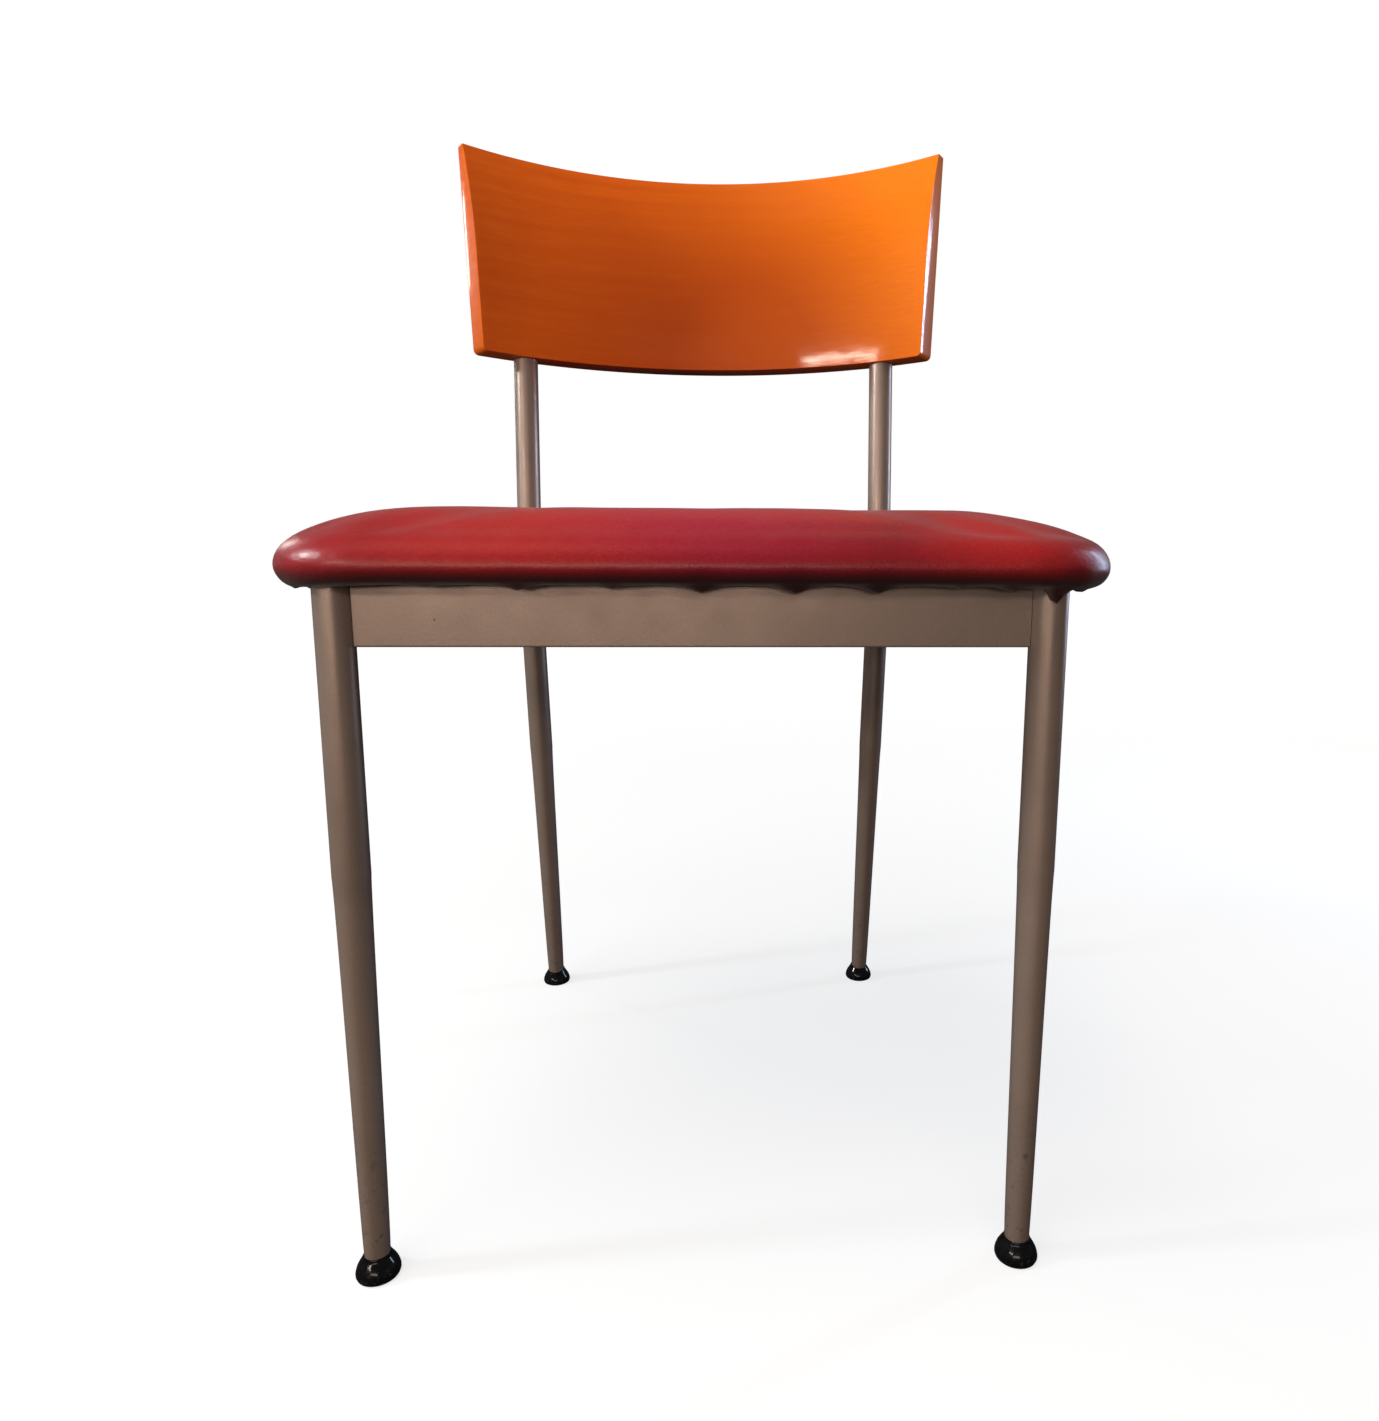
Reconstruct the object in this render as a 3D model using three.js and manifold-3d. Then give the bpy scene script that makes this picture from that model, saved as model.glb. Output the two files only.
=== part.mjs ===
// A stacking chair: a welded frame of tapered round tubes and flat rails, an upholstered
// seat pad screwed down onto four corner plates, and a curved wooden backrest on two spigots.
// Millimetres, +Z up, front towards -Y. Left is -X. The origin is on the floor, in the middle
// of the chair's footprint.
import * as THREE from "three";
import { mergeVertices } from "three/addons/utils/BufferGeometryUtils.js";
import Module from "manifold-3d";

const wasm = await Module();
wasm.setup();

// ---- Driving dimensions ----

// Clearances
const weldGap = 0.3; // between a rail or plate and the tube it is welded to
const fitGap = 0.3; // around a piece that sits in or on another
const layerGap = 0.4; // between the seat pad's layers, and under the pad

// Tubes
const tubeRadius = 10.4;
const tubeWall = 1.5;
const footRadius = 7.2; // outside of the tube at the glide
const taperLength = 250; // the tube narrows over this length above the floor
const bendRadius = 150; // of the rear tube, where the leg turns into the upright
const roundSides = 24;

// Frame, measured between tube centres
const frontSpacing = 387;
const frontFootSpacing = 389;
const frontFootLead = 2.6; // the front feet stand this far ahead of the rails' corners
const rearFootSpacing = 311;
const rearSeatSpacing = 319.6;
const uprightSpacing = 317.4;
const frameDepth = 367; // front legs to the bend of the rear tubes
const rearFootSetback = 38; // the rear feet stand this far behind the bend
const bendHeight = 398;
const uprightLean = THREE.MathUtils.degToRad(3);

// Rails
const railTop = 411.2;
const railHeight = 33.7;
const railThickness = 5;
const railCorner = 1;

// Corner plates
const plateLeg = 95;
const plateThickness = 3;
const plateHoleShare = 0.43; // how far along the plate's two legs the hole sits
const plateDrop = 0.3; // below the rails' top

// Glides
const glideRadius = 13;
const glideHeight = 13.2;
const glideFootRadius = 11.4;
const glideBevel = 1.6;
const glideStemLength = 26;

// Seat pad
const padFrontOverhang = 33; // ahead of the front legs' centres
const padSideOverhang = 44; // beyond the front legs' centres, before the corners are rounded
const padBackSideOverhang = 44.7; // the same at the back, beyond the rear tubes' centres
const padBackGap = 0.5; // between the pad and the rear tubes
const padCorner = 62;
const padThickness = 40;
const padRimHeight = 9; // the widest line, above the pad's underside
const padShoulder = 84; // how far the top takes to reach its crown
const padEdgeRound = 15; // how far the underside takes to become flat
const padSides = 52;
const coverThickness = 1.2;
const hemWidth = 25; // of the cover, folded in under the pad
const clothThickness = 1;
const boardThickness = 12;
const boardInset = 16; // inside the pad's outline
const boardCorner = padCorner - boardInset;

// Seat fasteners
const screwRadius = 2.9;
const screwLength = 17;
const headRadius = 5.6;
const headHeight = 3.4;
const washerRadius = 7;
const washerThickness = 1.2;
const nutBarrelRadius = 4;
const nutBarrelLength = 9;
const nutFlangeRadius = 9.5;
const nutFlangeThickness = 1.2;
const smallSides = 12;

// Backrest
const backHeight = 166.5;
const backBottomWidth = 388;
const backTopWidth = 400;
const backRadius = 330; // of the curve seen from above
const backThickness = 22;
const backTopThickness = 9.5;
const backTaperStart = 0.45; // share of the height below which the thickness is full
const backLean = 0.045;
const backBottom = 600;
const backForward = 2.3; // the middle of the board, ahead of the uprights' centres
const backCorner = 8;
const backColumns = 24;
const backRows = 8;
const backCornerRows = 3;

// Spigots and their screws
const spigotPlugLength = 42;
const spigotPinRadius = 5;
const spigotPinLength = 55;
const backScrewRadius = 1.75;
const backScrewHeadRadius = 3.5;
const backScrewHeadDepth = 2.2;
const backScrewRise = 24; // above the backrest's lower edge
const backScrewReach = 2.6; // into the spigot's pin, past its centre

// ---- Values worked out from them ----

const railMiddle = railTop - railHeight / 2;
const padUnderside = railTop + layerGap;
const padFrontWidth = frontSpacing + 2 * padSideOverhang;
const padBackWidth = rearSeatSpacing + 2 * padBackSideOverhang;
const padDepth = padFrontOverhang + frameDepth - tubeRadius - padBackGap;
const padMiddleY = padDepth / 2 - padFrontOverhang;
const boardBottom = padUnderside + coverThickness + layerGap;
const boardTop = boardBottom + boardThickness;
const plateTop = railTop - plateDrop;

// ---- Materials ----

const finish = (colour, roughness, metalness) =>
  new THREE.MeshStandardMaterial({ color: colour, roughness, metalness });

const paint = finish(0x8f8478, 0.42, 0.6);
const blackPlastic = finish(0x0b0c0e, 0.25, 0);
const leatherette = finish(0x8c1c2a, 0.38, 0);
const foamYellow = finish(0xd8c88e, 0.95, 0);
const plywood = finish(0xc79a62, 0.7, 0);
const blackCloth = finish(0x17171a, 0.95, 0);
const zinc = finish(0xb4b7ba, 0.35, 0.9);
const lacqueredWood = finish(0xb9500f, 0.18, 0);

// ---- Solids ----

const chair = new THREE.Group();

// A closed three.js geometry as a solid that can be cut and joined.
function solid(geometry) {
  const plain = geometry.clone();
  for (const name of Object.keys(plain.attributes)) {
    if (name !== "position") plain.deleteAttribute(name);
  }
  const merged = mergeVertices(plain, 1e-4);
  const corners = merged.index.array;
  const kept = [];
  for (let i = 0; i < corners.length; i += 3) {
    const [a, b, c] = corners.subarray(i, i + 3);
    if (a !== b && b !== c && c !== a) kept.push(a, b, c);
  }
  const mesh = new wasm.Mesh({
    numProp: 3,
    vertProperties: new Float32Array(merged.attributes.position.array),
    triVerts: new Uint32Array(kept),
  });
  return new wasm.Manifold(mesh);
}

// A solid's surface as a three.js geometry.
function surface(body) {
  const mesh = body.getMesh();
  const step = mesh.numProp;
  const places = new Float32Array(mesh.numVert * 3);
  for (let i = 0; i < mesh.numVert; i++) {
    places.set(mesh.vertProperties.subarray(i * step, i * step + 3), i * 3);
  }
  const geometry = new THREE.BufferGeometry();
  geometry.setAttribute("position", new THREE.BufferAttribute(places, 3));
  geometry.setIndex(new THREE.BufferAttribute(mesh.triVerts, 1));
  geometry.computeVertexNormals();
  return geometry;
}

function addPiece(name, body, material) {
  const mesh = new THREE.Mesh(surface(body), material);
  mesh.name = name;
  chair.add(mesh);
  return mesh;
}

// A turned piece about the Z axis. The section is a list of [radius, height], from the top down
// on the outside, and it starts and ends on the axis or closes on itself.
function turned(section, sides) {
  const points = section.map(([r, h]) => new THREE.Vector2(r, h));
  return new THREE.LatheGeometry(points.reverse(), sides).rotateX(Math.PI / 2);
}

// Moves every corner of a geometry by a function of its place and its index.
function reshape(geometry, move) {
  const places = geometry.attributes.position;
  const at = new THREE.Vector3();
  for (let i = 0; i < places.count; i++) {
    at.fromBufferAttribute(places, i);
    const to = move(at, i);
    places.setXYZ(i, to.x, to.y, to.z);
  }
  return geometry;
}

// Stands a geometry made along +Z at a point, turned to lie along a direction.
function standAt(geometry, point, direction) {
  const up = new THREE.Vector3(0, 0, 1);
  const turn = new THREE.Quaternion().setFromUnitVectors(up, direction.clone().normalize());
  return geometry.applyQuaternion(turn).translate(point.x, point.y, point.z);
}

const sideNames = [
  ["left", -1],
  ["right", 1],
];

// ---- Tubes ----

const frontLegPath = (side) =>
  new THREE.LineCurve3(
    new THREE.Vector3((side * frontFootSpacing) / 2, -frontFootLead, 0),
    new THREE.Vector3((side * frontSpacing) / 2, 0, railTop),
  );

// The rear tube's three corners: the foot, the bend at seat height and the top of the upright.
function rearCorners(side) {
  const foot = [(side * rearFootSpacing) / 2, frameDepth + rearFootSetback, 0];
  const bend = [(side * rearSeatSpacing) / 2, frameDepth, bendHeight];
  const topHeight = backBottom - 2 * fitGap;
  const back = frameDepth + (topHeight - bendHeight) * Math.tan(uprightLean);
  const top = [(side * uprightSpacing) / 2, back, topHeight];
  return [foot, bend, top].map((p) => new THREE.Vector3(...p));
}

function rearLegPath(side) {
  const [foot, bend, top] = rearCorners(side);
  const down = foot.clone().sub(bend).normalize();
  const up = top.clone().sub(bend).normalize();
  const setback = bendRadius * Math.tan((Math.PI - down.angleTo(up)) / 2);
  const start = bend.clone().addScaledVector(down, setback);
  const end = bend.clone().addScaledVector(up, setback);
  const path = new THREE.CurvePath();
  path.add(new THREE.LineCurve3(foot, start));
  path.add(new THREE.QuadraticBezierCurve3(start, bend, end));
  path.add(new THREE.LineCurve3(end, top));
  return path;
}

// The heights along a tube at which it gets a ring of corners.
function tubeStations(path, start) {
  const length = path.getLength();
  const stations = [start, taperLength];
  if (path.curves) {
    const [leg, bend] = path.getCurveLengths();
    const bendSteps = 4;
    for (let i = 0; i <= bendSteps; i++) {
      stations.push(leg + ((bend - leg) * i) / bendSteps);
    }
  }
  return [...stations, length];
}

const outsideRadius = (along) =>
  THREE.MathUtils.lerp(footRadius, tubeRadius, Math.min(along / taperLength, 1));

// Bends a straight piece made along +Z onto a path, keeping its X side towards +X.
function bendAlong(geometry, path) {
  const length = path.getLength();
  const acrossX = new THREE.Vector3(1, 0, 0);
  return reshape(geometry, (at) => {
    const share = THREE.MathUtils.clamp(at.z / length, 0, 1);
    const tangent = path.getTangentAt(share);
    const v = new THREE.Vector3().crossVectors(tangent, acrossX).normalize();
    const u = new THREE.Vector3().crossVectors(v, tangent);
    return path
      .getPointAt(share)
      .addScaledVector(tangent, at.z - share * length)
      .addScaledVector(u, at.x)
      .addScaledVector(v, at.y);
  });
}

// An open-ended tube along a path, starting at a height above the path's foot.
function hollowTube(path, start) {
  const stations = tubeStations(path, start);
  const outside = stations.map((h) => [outsideRadius(h), h]).reverse();
  const inside = stations.map((h) => [outsideRadius(h) - tubeWall, h]);
  const section = [...outside, ...inside, outside[0]];
  return solid(bendAlong(turned(section, roundSides), path));
}

// A solid rod along a tube's path, grown all round by a clearance, to cut what meets the tube.
function tubeCutter(path, grow, start) {
  const stations = tubeStations(path, start);
  const top = stations[stations.length - 1] + grow;
  const outside = [...stations, top].map((h) => [outsideRadius(h) + grow, h]).reverse();
  const section = [[0, top], ...outside, [0, start]];
  return solid(bendAlong(turned(section, roundSides), path));
}

// Where the tube starts, just above its glide: a leaning tube's end dips on one side.
function tubeStart(path) {
  const lean = path.getTangentAt(0).angleTo(new THREE.Vector3(0, 0, 1));
  return glideHeight + fitGap + footRadius * Math.tan(lean);
}

// ---- Rails and corner plates ----

const frontPost = (side) => new THREE.Vector3((side * frontSpacing) / 2, 0, 0);
const rearPost = (side) => new THREE.Vector3((side * rearSeatSpacing) / 2, frameDepth, 0);

function roundedRectangle(width, height, corner) {
  const shape = new THREE.Shape();
  const x = width / 2 - corner;
  const y = height / 2 - corner;
  shape.absarc(x, y, corner, 0, Math.PI / 2);
  shape.absarc(-x, y, corner, Math.PI / 2, Math.PI);
  shape.absarc(-x, -y, corner, Math.PI, 1.5 * Math.PI);
  shape.absarc(x, -y, corner, 1.5 * Math.PI, 2 * Math.PI);
  shape.closePath();
  return shape;
}

// A flat bar from one post to another, its ends cut to fit round both tubes.
function rail(from, to, cutters) {
  const along = to.clone().sub(from);
  const section = roundedRectangle(railHeight, railThickness, railCorner);
  const options = { depth: along.length(), bevelEnabled: false, curveSegments: 3 };
  const bar = new THREE.ExtrudeGeometry(section, options);
  bar.rotateY(Math.PI / 2).rotateZ(Math.atan2(along.y, along.x));
  bar.translate(from.x, from.y, railMiddle);
  return cutters.reduce((body, cutter) => body.subtract(cutter), solid(bar));
}

// The corner between two rails: the inside corner and the two directions along the rails.
function plateCorner(post, alongA, alongB) {
  const u = alongA.clone().sub(post).normalize();
  const w = alongB.clone().sub(post).normalize();
  const spread = railThickness / 2 + weldGap;
  const inner = post.clone().addScaledVector(u.clone().add(w), spread / Math.sin(u.angleTo(w)));
  return { inner, u, w };
}

function holePlace({ inner, u, w }) {
  return inner.clone().addScaledVector(u.clone().add(w), plateLeg * plateHoleShare);
}

function cornerPlate(corner, cutter) {
  const { inner, u, w } = corner;
  const hole = holePlace(corner);
  const tips = [inner, inner.clone().addScaledVector(u, plateLeg)];
  tips.push(inner.clone().addScaledVector(w, plateLeg));
  const outline = new THREE.Shape(tips.map((p) => new THREE.Vector2(p.x, p.y)));
  const round = new THREE.Path().absarc(hole.x, hole.y, screwRadius + 2 * fitGap, 0, 2 * Math.PI);
  outline.holes.push(round);
  const options = { depth: plateThickness, bevelEnabled: false, curveSegments: smallSides };
  const plate = new THREE.ExtrudeGeometry(outline, options);
  return solid(plate.translate(0, 0, plateTop - plateThickness)).subtract(cutter);
}

// ---- Glides ----

// A domed foot with a stem that plugs into the tube's end.
function glide(path) {
  const domeSteps = 5;
  const shoulder = footRadius + 0.5;
  const dome = [[0, glideHeight]];
  for (let i = 0; i <= domeSteps; i++) {
    const turn = (i / domeSteps) * (Math.PI / 2);
    const radius = shoulder + (glideRadius - shoulder) * Math.sin(turn);
    const height = glideBevel + (glideHeight - glideBevel) * Math.cos(turn);
    dome.push([radius, height]);
  }
  dome.push([glideFootRadius, 0], [0, 0]);
  const foot = path.getPointAt(0);
  const cap = solid(turned(dome, roundSides).translate(foot.x, foot.y, 0));
  return cap.subtract(tubeCutter(path, fitGap, tubeStart(path) - fitGap)).add(glideStem(path));
}

function glideStem(path) {
  const radius = footRadius - tubeWall - fitGap;
  const top = glideHeight + glideStemLength;
  const low = glideHeight / 2;
  const tip = radius - 1.2;
  const stem = [[0, top], [tip, top], [radius, top - 3], [radius, low], [0, low]];
  return solid(bendAlong(turned(stem, roundSides), path));
}

// ---- Seat pad ----

// The pad's outline seen from above, drawn in by an inset: a trapezium with round corners.
function padOutline(inset, corner = Math.max(padCorner - inset, 4)) {
  const frontX = padFrontWidth / 2 - inset;
  const backX = padBackWidth / 2 - inset;
  const frontY = -padFrontOverhang + inset;
  const backY = padDepth - padFrontOverhang - inset;
  const slant = Math.atan2(frontX - backX, backY - frontY);
  const slip = corner * (1 / Math.cos(slant) + Math.tan(slant));
  const backSlip = corner * (1 / Math.cos(slant) - Math.tan(slant));
  const outline = new THREE.Shape();
  const quarter = Math.PI / 2;
  outline.absarc(frontX - slip, frontY + corner, corner, -quarter, slant);
  outline.absarc(backX - backSlip, backY - corner, corner, slant, quarter);
  outline.absarc(-backX + backSlip, backY - corner, corner, quarter, 2 * quarter - slant);
  outline.absarc(-frontX + slip, frontY + corner, corner, 2 * quarter - slant, 3 * quarter);
  outline.closePath();
  return outline;
}

// Half of the pad's section, turned round its middle: a crowned top that falls to the rim, and
// an underside that curves in from the rim and becomes flat.
function crownedSection(low, rim, high, shoulderShare, edgeShare) {
  const steps = 5;
  const section = [[0, high]];
  for (let i = 0; i <= steps; i++) {
    const turn = (i / steps) * (Math.PI / 2);
    section.push([1 - shoulderShare * (1 - Math.sin(turn)), rim + (high - rim) * Math.cos(turn)]);
  }
  for (let i = 1; i <= steps; i++) {
    const turn = (i / steps) * (Math.PI / 2);
    section.push([1 - edgeShare * (1 - Math.cos(turn)), rim - (rim - low) * Math.sin(turn)]);
  }
  section.push([0, low]);
  return section;
}

// A cushion form: a turned section stretched sideways to the pad's outline.
function cushionForm(inset, low, high) {
  const halfDepth = padDepth / 2;
  const rim = padUnderside + padRimHeight;
  const section = crownedSection(low, rim, high, padShoulder / halfDepth, padEdgeRound / halfDepth);
  const outline = padOutline(inset).getSpacedPoints(padSides);
  const form = turned(section, padSides);
  return solid(
    reshape(form, (at, index) => {
      const column = Math.floor(index / section.length) % padSides;
      const share = Math.hypot(at.x, at.y);
      const edge = outline[column];
      const y = padMiddleY + (edge.y - padMiddleY) * share;
      return new THREE.Vector3(edge.x * share, y, at.z);
    }),
  );
}

// An upright block with the pad's outline, from one height to another.
function outlineBlock(inset, low, high, corner) {
  const options = { depth: high - low, bevelEnabled: false, curveSegments: 8 };
  const outline = padOutline(inset, corner);
  return solid(new THREE.ExtrudeGeometry(outline, options).translate(0, 0, low));
}

// An upright pin at a place, to drill a hole with or to keep.
function pin(place, radius, low, high) {
  const section = [[0, high], [radius, high], [radius, low], [0, low]];
  return solid(turned(section, smallSides).translate(place.x, place.y, 0));
}

// The space that the board and its clearance take up inside the pad.
const boardRoom = () => outlineBlock(boardInset - fitGap, boardBottom - fitGap, boardTop + fitGap);

function seatCover() {
  const high = padUnderside + padThickness;
  const outside = cushionForm(0, padUnderside, high);
  const inside = cushionForm(coverThickness, padUnderside + coverThickness, high - coverThickness);
  const opening = outlineBlock(hemWidth, padUnderside - 1, boardBottom);
  return outside.subtract(inside).subtract(opening).subtract(boardRoom());
}

function seatFoam() {
  const skin = coverThickness + layerGap;
  const form = cushionForm(skin, padUnderside + skin, padUnderside + padThickness - skin);
  const opening = outlineBlock(boardInset, padUnderside, boardBottom);
  return form.subtract(opening).subtract(boardRoom());
}

function seatBoard(holes) {
  const board = outlineBlock(boardInset, boardBottom, boardTop, boardCorner);
  return holes.reduce((body, place) => {
    const bore = pin(place, nutBarrelRadius + fitGap, boardBottom - 1, boardTop + 1);
    const recessFloor = boardTop - nutFlangeThickness - fitGap;
    const recess = pin(place, nutFlangeRadius + fitGap, recessFloor, boardTop + 1);
    return body.subtract(bore).subtract(recess);
  }, board);
}

function bottomCloth(holes) {
  const low = padUnderside;
  const cloth = outlineBlock(hemWidth + layerGap, low, low + clothThickness);
  return holes.reduce(
    (body, place) => body.subtract(pin(place, screwRadius + 2, low - 1, boardBottom)),
    cloth,
  );
}

// ---- Seat fasteners ----

const washerTop = plateTop - plateThickness - fitGap;
const headTop = washerTop - washerThickness - fitGap;

function seatScrew(place) {
  const recess = 2.6;
  const socket = 2.5;
  const low = headTop - headHeight;
  const section = [
    [0, headTop + screwLength],
    [screwRadius - 0.8, headTop + screwLength],
    [screwRadius, headTop + screwLength - 1],
    [screwRadius, headTop],
    [headRadius, headTop],
    [headRadius, low + 1.4],
    [headRadius - 1.6, low],
    [socket, low],
    [socket, low + recess],
    [0, low + recess],
  ];
  return solid(turned(section, smallSides).translate(place.x, place.y, 0));
}

function seatWasher(place) {
  const bore = screwRadius + fitGap;
  const low = washerTop - washerThickness;
  const section = [
    [bore, washerTop],
    [washerRadius, washerTop],
    [washerRadius, low],
    [bore, low],
    [bore, washerTop],
  ];
  return solid(turned(section, smallSides).translate(place.x, place.y, 0));
}

function teeNut(place) {
  const bore = screwRadius + fitGap;
  const underFlange = boardTop - nutFlangeThickness;
  const low = underFlange - nutBarrelLength;
  const section = [
    [bore, boardTop],
    [nutFlangeRadius, boardTop],
    [nutFlangeRadius, underFlange],
    [nutBarrelRadius, underFlange],
    [nutBarrelRadius, low],
    [bore, low],
    [bore, boardTop],
  ];
  return solid(turned(section, smallSides).translate(place.x, place.y, 0));
}

// ---- Backrest ----

// The backrest's own directions: up along its face, and forwards out of its hollow side.
const backUp = new THREE.Vector3(0, Math.sin(backLean), Math.cos(backLean));
const backOut = new THREE.Vector3(0, -Math.cos(backLean), Math.sin(backLean));
const bow = (across) => backRadius - Math.sqrt(backRadius ** 2 - across ** 2);

// A point of the bent board: across from its middle, up its face, and ahead of its middle layer.
function backPoint(across, rise, ahead) {
  const uprightY = rearCorners(1)[2].y - backForward;
  const turn = Math.asin(across / backRadius);
  const start = new THREE.Vector3(across, uprightY, backBottom);
  return start
    .addScaledVector(backUp, rise)
    .addScaledVector(backOut, bow(across) - bow(uprightSpacing / 2))
    .add(backNormal(turn).multiplyScalar(ahead));
}

// The direction out of the board's front face where the curve has turned by an angle.
function backNormal(turn) {
  const normal = backOut.clone().multiplyScalar(Math.cos(turn));
  return normal.addScaledVector(new THREE.Vector3(1, 0, 0), -Math.sin(turn));
}

// How high each row of corners is, closer together round the bottom corners.
function rowRise(row) {
  if (row <= backCornerRows) {
    return backCorner * (1 - Math.cos((row / backCornerRows) * (Math.PI / 2)));
  }
  const share = (row - backCornerRows) / (backRows - backCornerRows);
  return THREE.MathUtils.lerp(backCorner, backHeight, share);
}

// Half the board's width at a height, with the bottom corners rounded off.
function backHalfWidth(rise) {
  const full = THREE.MathUtils.lerp(backBottomWidth, backTopWidth, rise / backHeight) / 2;
  const below = Math.max(backCorner - rise, 0);
  return full - (backCorner - Math.sqrt(backCorner ** 2 - below ** 2));
}

// The board thins towards its top edge, on its front face only.
function backThicknessAt(rise) {
  const share = Math.max(rise / backHeight - backTaperStart, 0) / (1 - backTaperStart);
  return THREE.MathUtils.lerp(backThickness, backTopThickness, share ** 2);
}

function backBoard() {
  const block = new THREE.BoxGeometry(2, backRows, 1, backColumns, backRows, 1);
  const bent = reshape(block, (at) => {
    const rise = rowRise(Math.round(at.y + backRows / 2));
    const ahead = at.z > 0 ? backThicknessAt(rise) - backThickness / 2 : -backThickness / 2;
    return backPoint(at.x * backHalfWidth(rise), rise, ahead);
  });
  return solid(bent);
}

// The upright's end and the direction in which it points into the backrest.
function spigotAxis(side) {
  const [, bend, top] = rearCorners(side);
  return { seat: top, direction: top.clone().sub(bend).normalize() };
}

function spigot(side) {
  const { seat, direction } = spigotAxis(side);
  const plugRadius = tubeRadius - tubeWall - fitGap;
  const section = [
    [0, spigotPinLength],
    [spigotPinRadius - 1, spigotPinLength],
    [spigotPinRadius, spigotPinLength - 1],
    [spigotPinRadius, 0],
    [plugRadius, 0],
    [plugRadius, -spigotPlugLength],
    [0, -spigotPlugLength],
  ];
  return solid(standAt(turned(section, smallSides), seat, direction));
}

function spigotBore(side) {
  const { seat, direction } = spigotAxis(side);
  const radius = spigotPinRadius + fitGap;
  const top = spigotPinLength + fitGap;
  const section = [[0, top], [radius, top], [radius, -5], [0, -5]];
  return solid(standAt(turned(section, smallSides), seat, direction));
}

// A countersunk screw from the back of the board through the spigot, or the hole for it.
function backScrew(side, grow) {
  const turn = Math.asin((side * uprightSpacing) / 2 / backRadius);
  const inwards = backNormal(turn);
  const { seat, direction } = spigotAxis(side);
  const rise = backScrewRise / direction.z;
  const middle = seat.clone().addScaledVector(direction, rise);
  const faceDistance = backThickness / 2 + backForwardAt(side, middle, inwards);
  const radius = backScrewRadius + grow;
  const head = backScrewHeadRadius + grow;
  const depth = faceDistance + backScrewReach + grow;
  const section = [
    [0, depth],
    [radius, depth],
    [radius, backScrewHeadDepth],
    [head, fitGap],
    [head, grow ? -1 : 0.1],
    [0, grow ? -1 : 0.1],
  ];
  const start = middle.clone().addScaledVector(inwards, -faceDistance);
  return solid(standAt(turned(section, smallSides), start, inwards));
}

// How far a point lies ahead of the board's middle layer, at an upright.
function backForwardAt(side, point, inwards) {
  const rise = point.clone().sub(backPoint(point.x, 0, 0)).dot(backUp);
  return point.clone().sub(backPoint(point.x, rise, 0)).dot(inwards);
}

// ---- Assembly ----

function addFrame() {
  const cutters = {};
  for (const [name, side] of sideNames) {
    const front = frontLegPath(side);
    const rear = rearLegPath(side);
    cutters[name] = [tubeCutter(front, weldGap, 0), tubeCutter(rear, weldGap, 0)];
    addPiece(`${name}_front_leg`, hollowTube(front, tubeStart(front)), paint);
    addPiece(`${name}_rear_leg`, hollowTube(rear, tubeStart(rear)), paint);
    addPiece(`${name}_front_glide`, glide(front), blackPlastic);
    addPiece(`${name}_rear_glide`, glide(rear), blackPlastic);
  }
  const { left, right } = cutters;
  addPiece("front_rail", rail(frontPost(-1), frontPost(1), [left[0], right[0]]), paint);
  addPiece("rear_rail", rail(rearPost(-1), rearPost(1), [left[1], right[1]]), paint);
  addPiece("left_side_rail", rail(frontPost(-1), rearPost(-1), left), paint);
  addPiece("right_side_rail", rail(frontPost(1), rearPost(1), right), paint);
  return cutters;
}

// The corner plates and their screws, washers and tee nuts. Returns where the screws stand.
function addSeatFixings(cutters) {
  const holes = [];
  for (const [name, side] of sideNames) {
    const front = plateCorner(frontPost(side), frontPost(-side), rearPost(side));
    const rear = plateCorner(rearPost(side), rearPost(-side), frontPost(side));
    for (const [end, corner, cutter] of [
      ["front", front, cutters[name][0]],
      ["rear", rear, cutters[name][1]],
    ]) {
      const place = holePlace(corner);
      holes.push(place);
      addPiece(`${name}_${end}_seat_plate`, cornerPlate(corner, cutter), paint);
      addPiece(`${name}_${end}_seat_screw`, seatScrew(place), zinc);
      addPiece(`${name}_${end}_seat_washer`, seatWasher(place), zinc);
      addPiece(`${name}_${end}_tee_nut`, teeNut(place), zinc);
    }
  }
  return holes;
}

function addSeat(holes) {
  addPiece("seat_board", seatBoard(holes), plywood);
  addPiece("seat_foam", seatFoam(), foamYellow);
  addPiece("seat_cover", seatCover(), leatherette);
  addPiece("bottom_cloth", bottomCloth(holes), blackCloth);
}

function addBackrest() {
  let board = backBoard();
  for (const [name, side] of sideNames) {
    const hole = backScrew(side, fitGap);
    board = board.subtract(spigotBore(side)).subtract(hole);
    addPiece(`${name}_spigot`, spigot(side).subtract(hole), zinc);
    addPiece(`${name}_back_screw`, backScrew(side, 0), zinc);
  }
  addPiece("backrest", board, lacqueredWood);
}

const cutters = addFrame();
addSeat(addSeatFixings(cutters));
addBackrest();

// The footprint's middle is the origin.
const box = new THREE.Box3().setFromObject(chair);
chair.position.y = -(box.min.y + box.max.y) / 2;

export default chair;
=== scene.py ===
import bmesh, bpy, math, random
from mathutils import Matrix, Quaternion, Vector, noise


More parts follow.
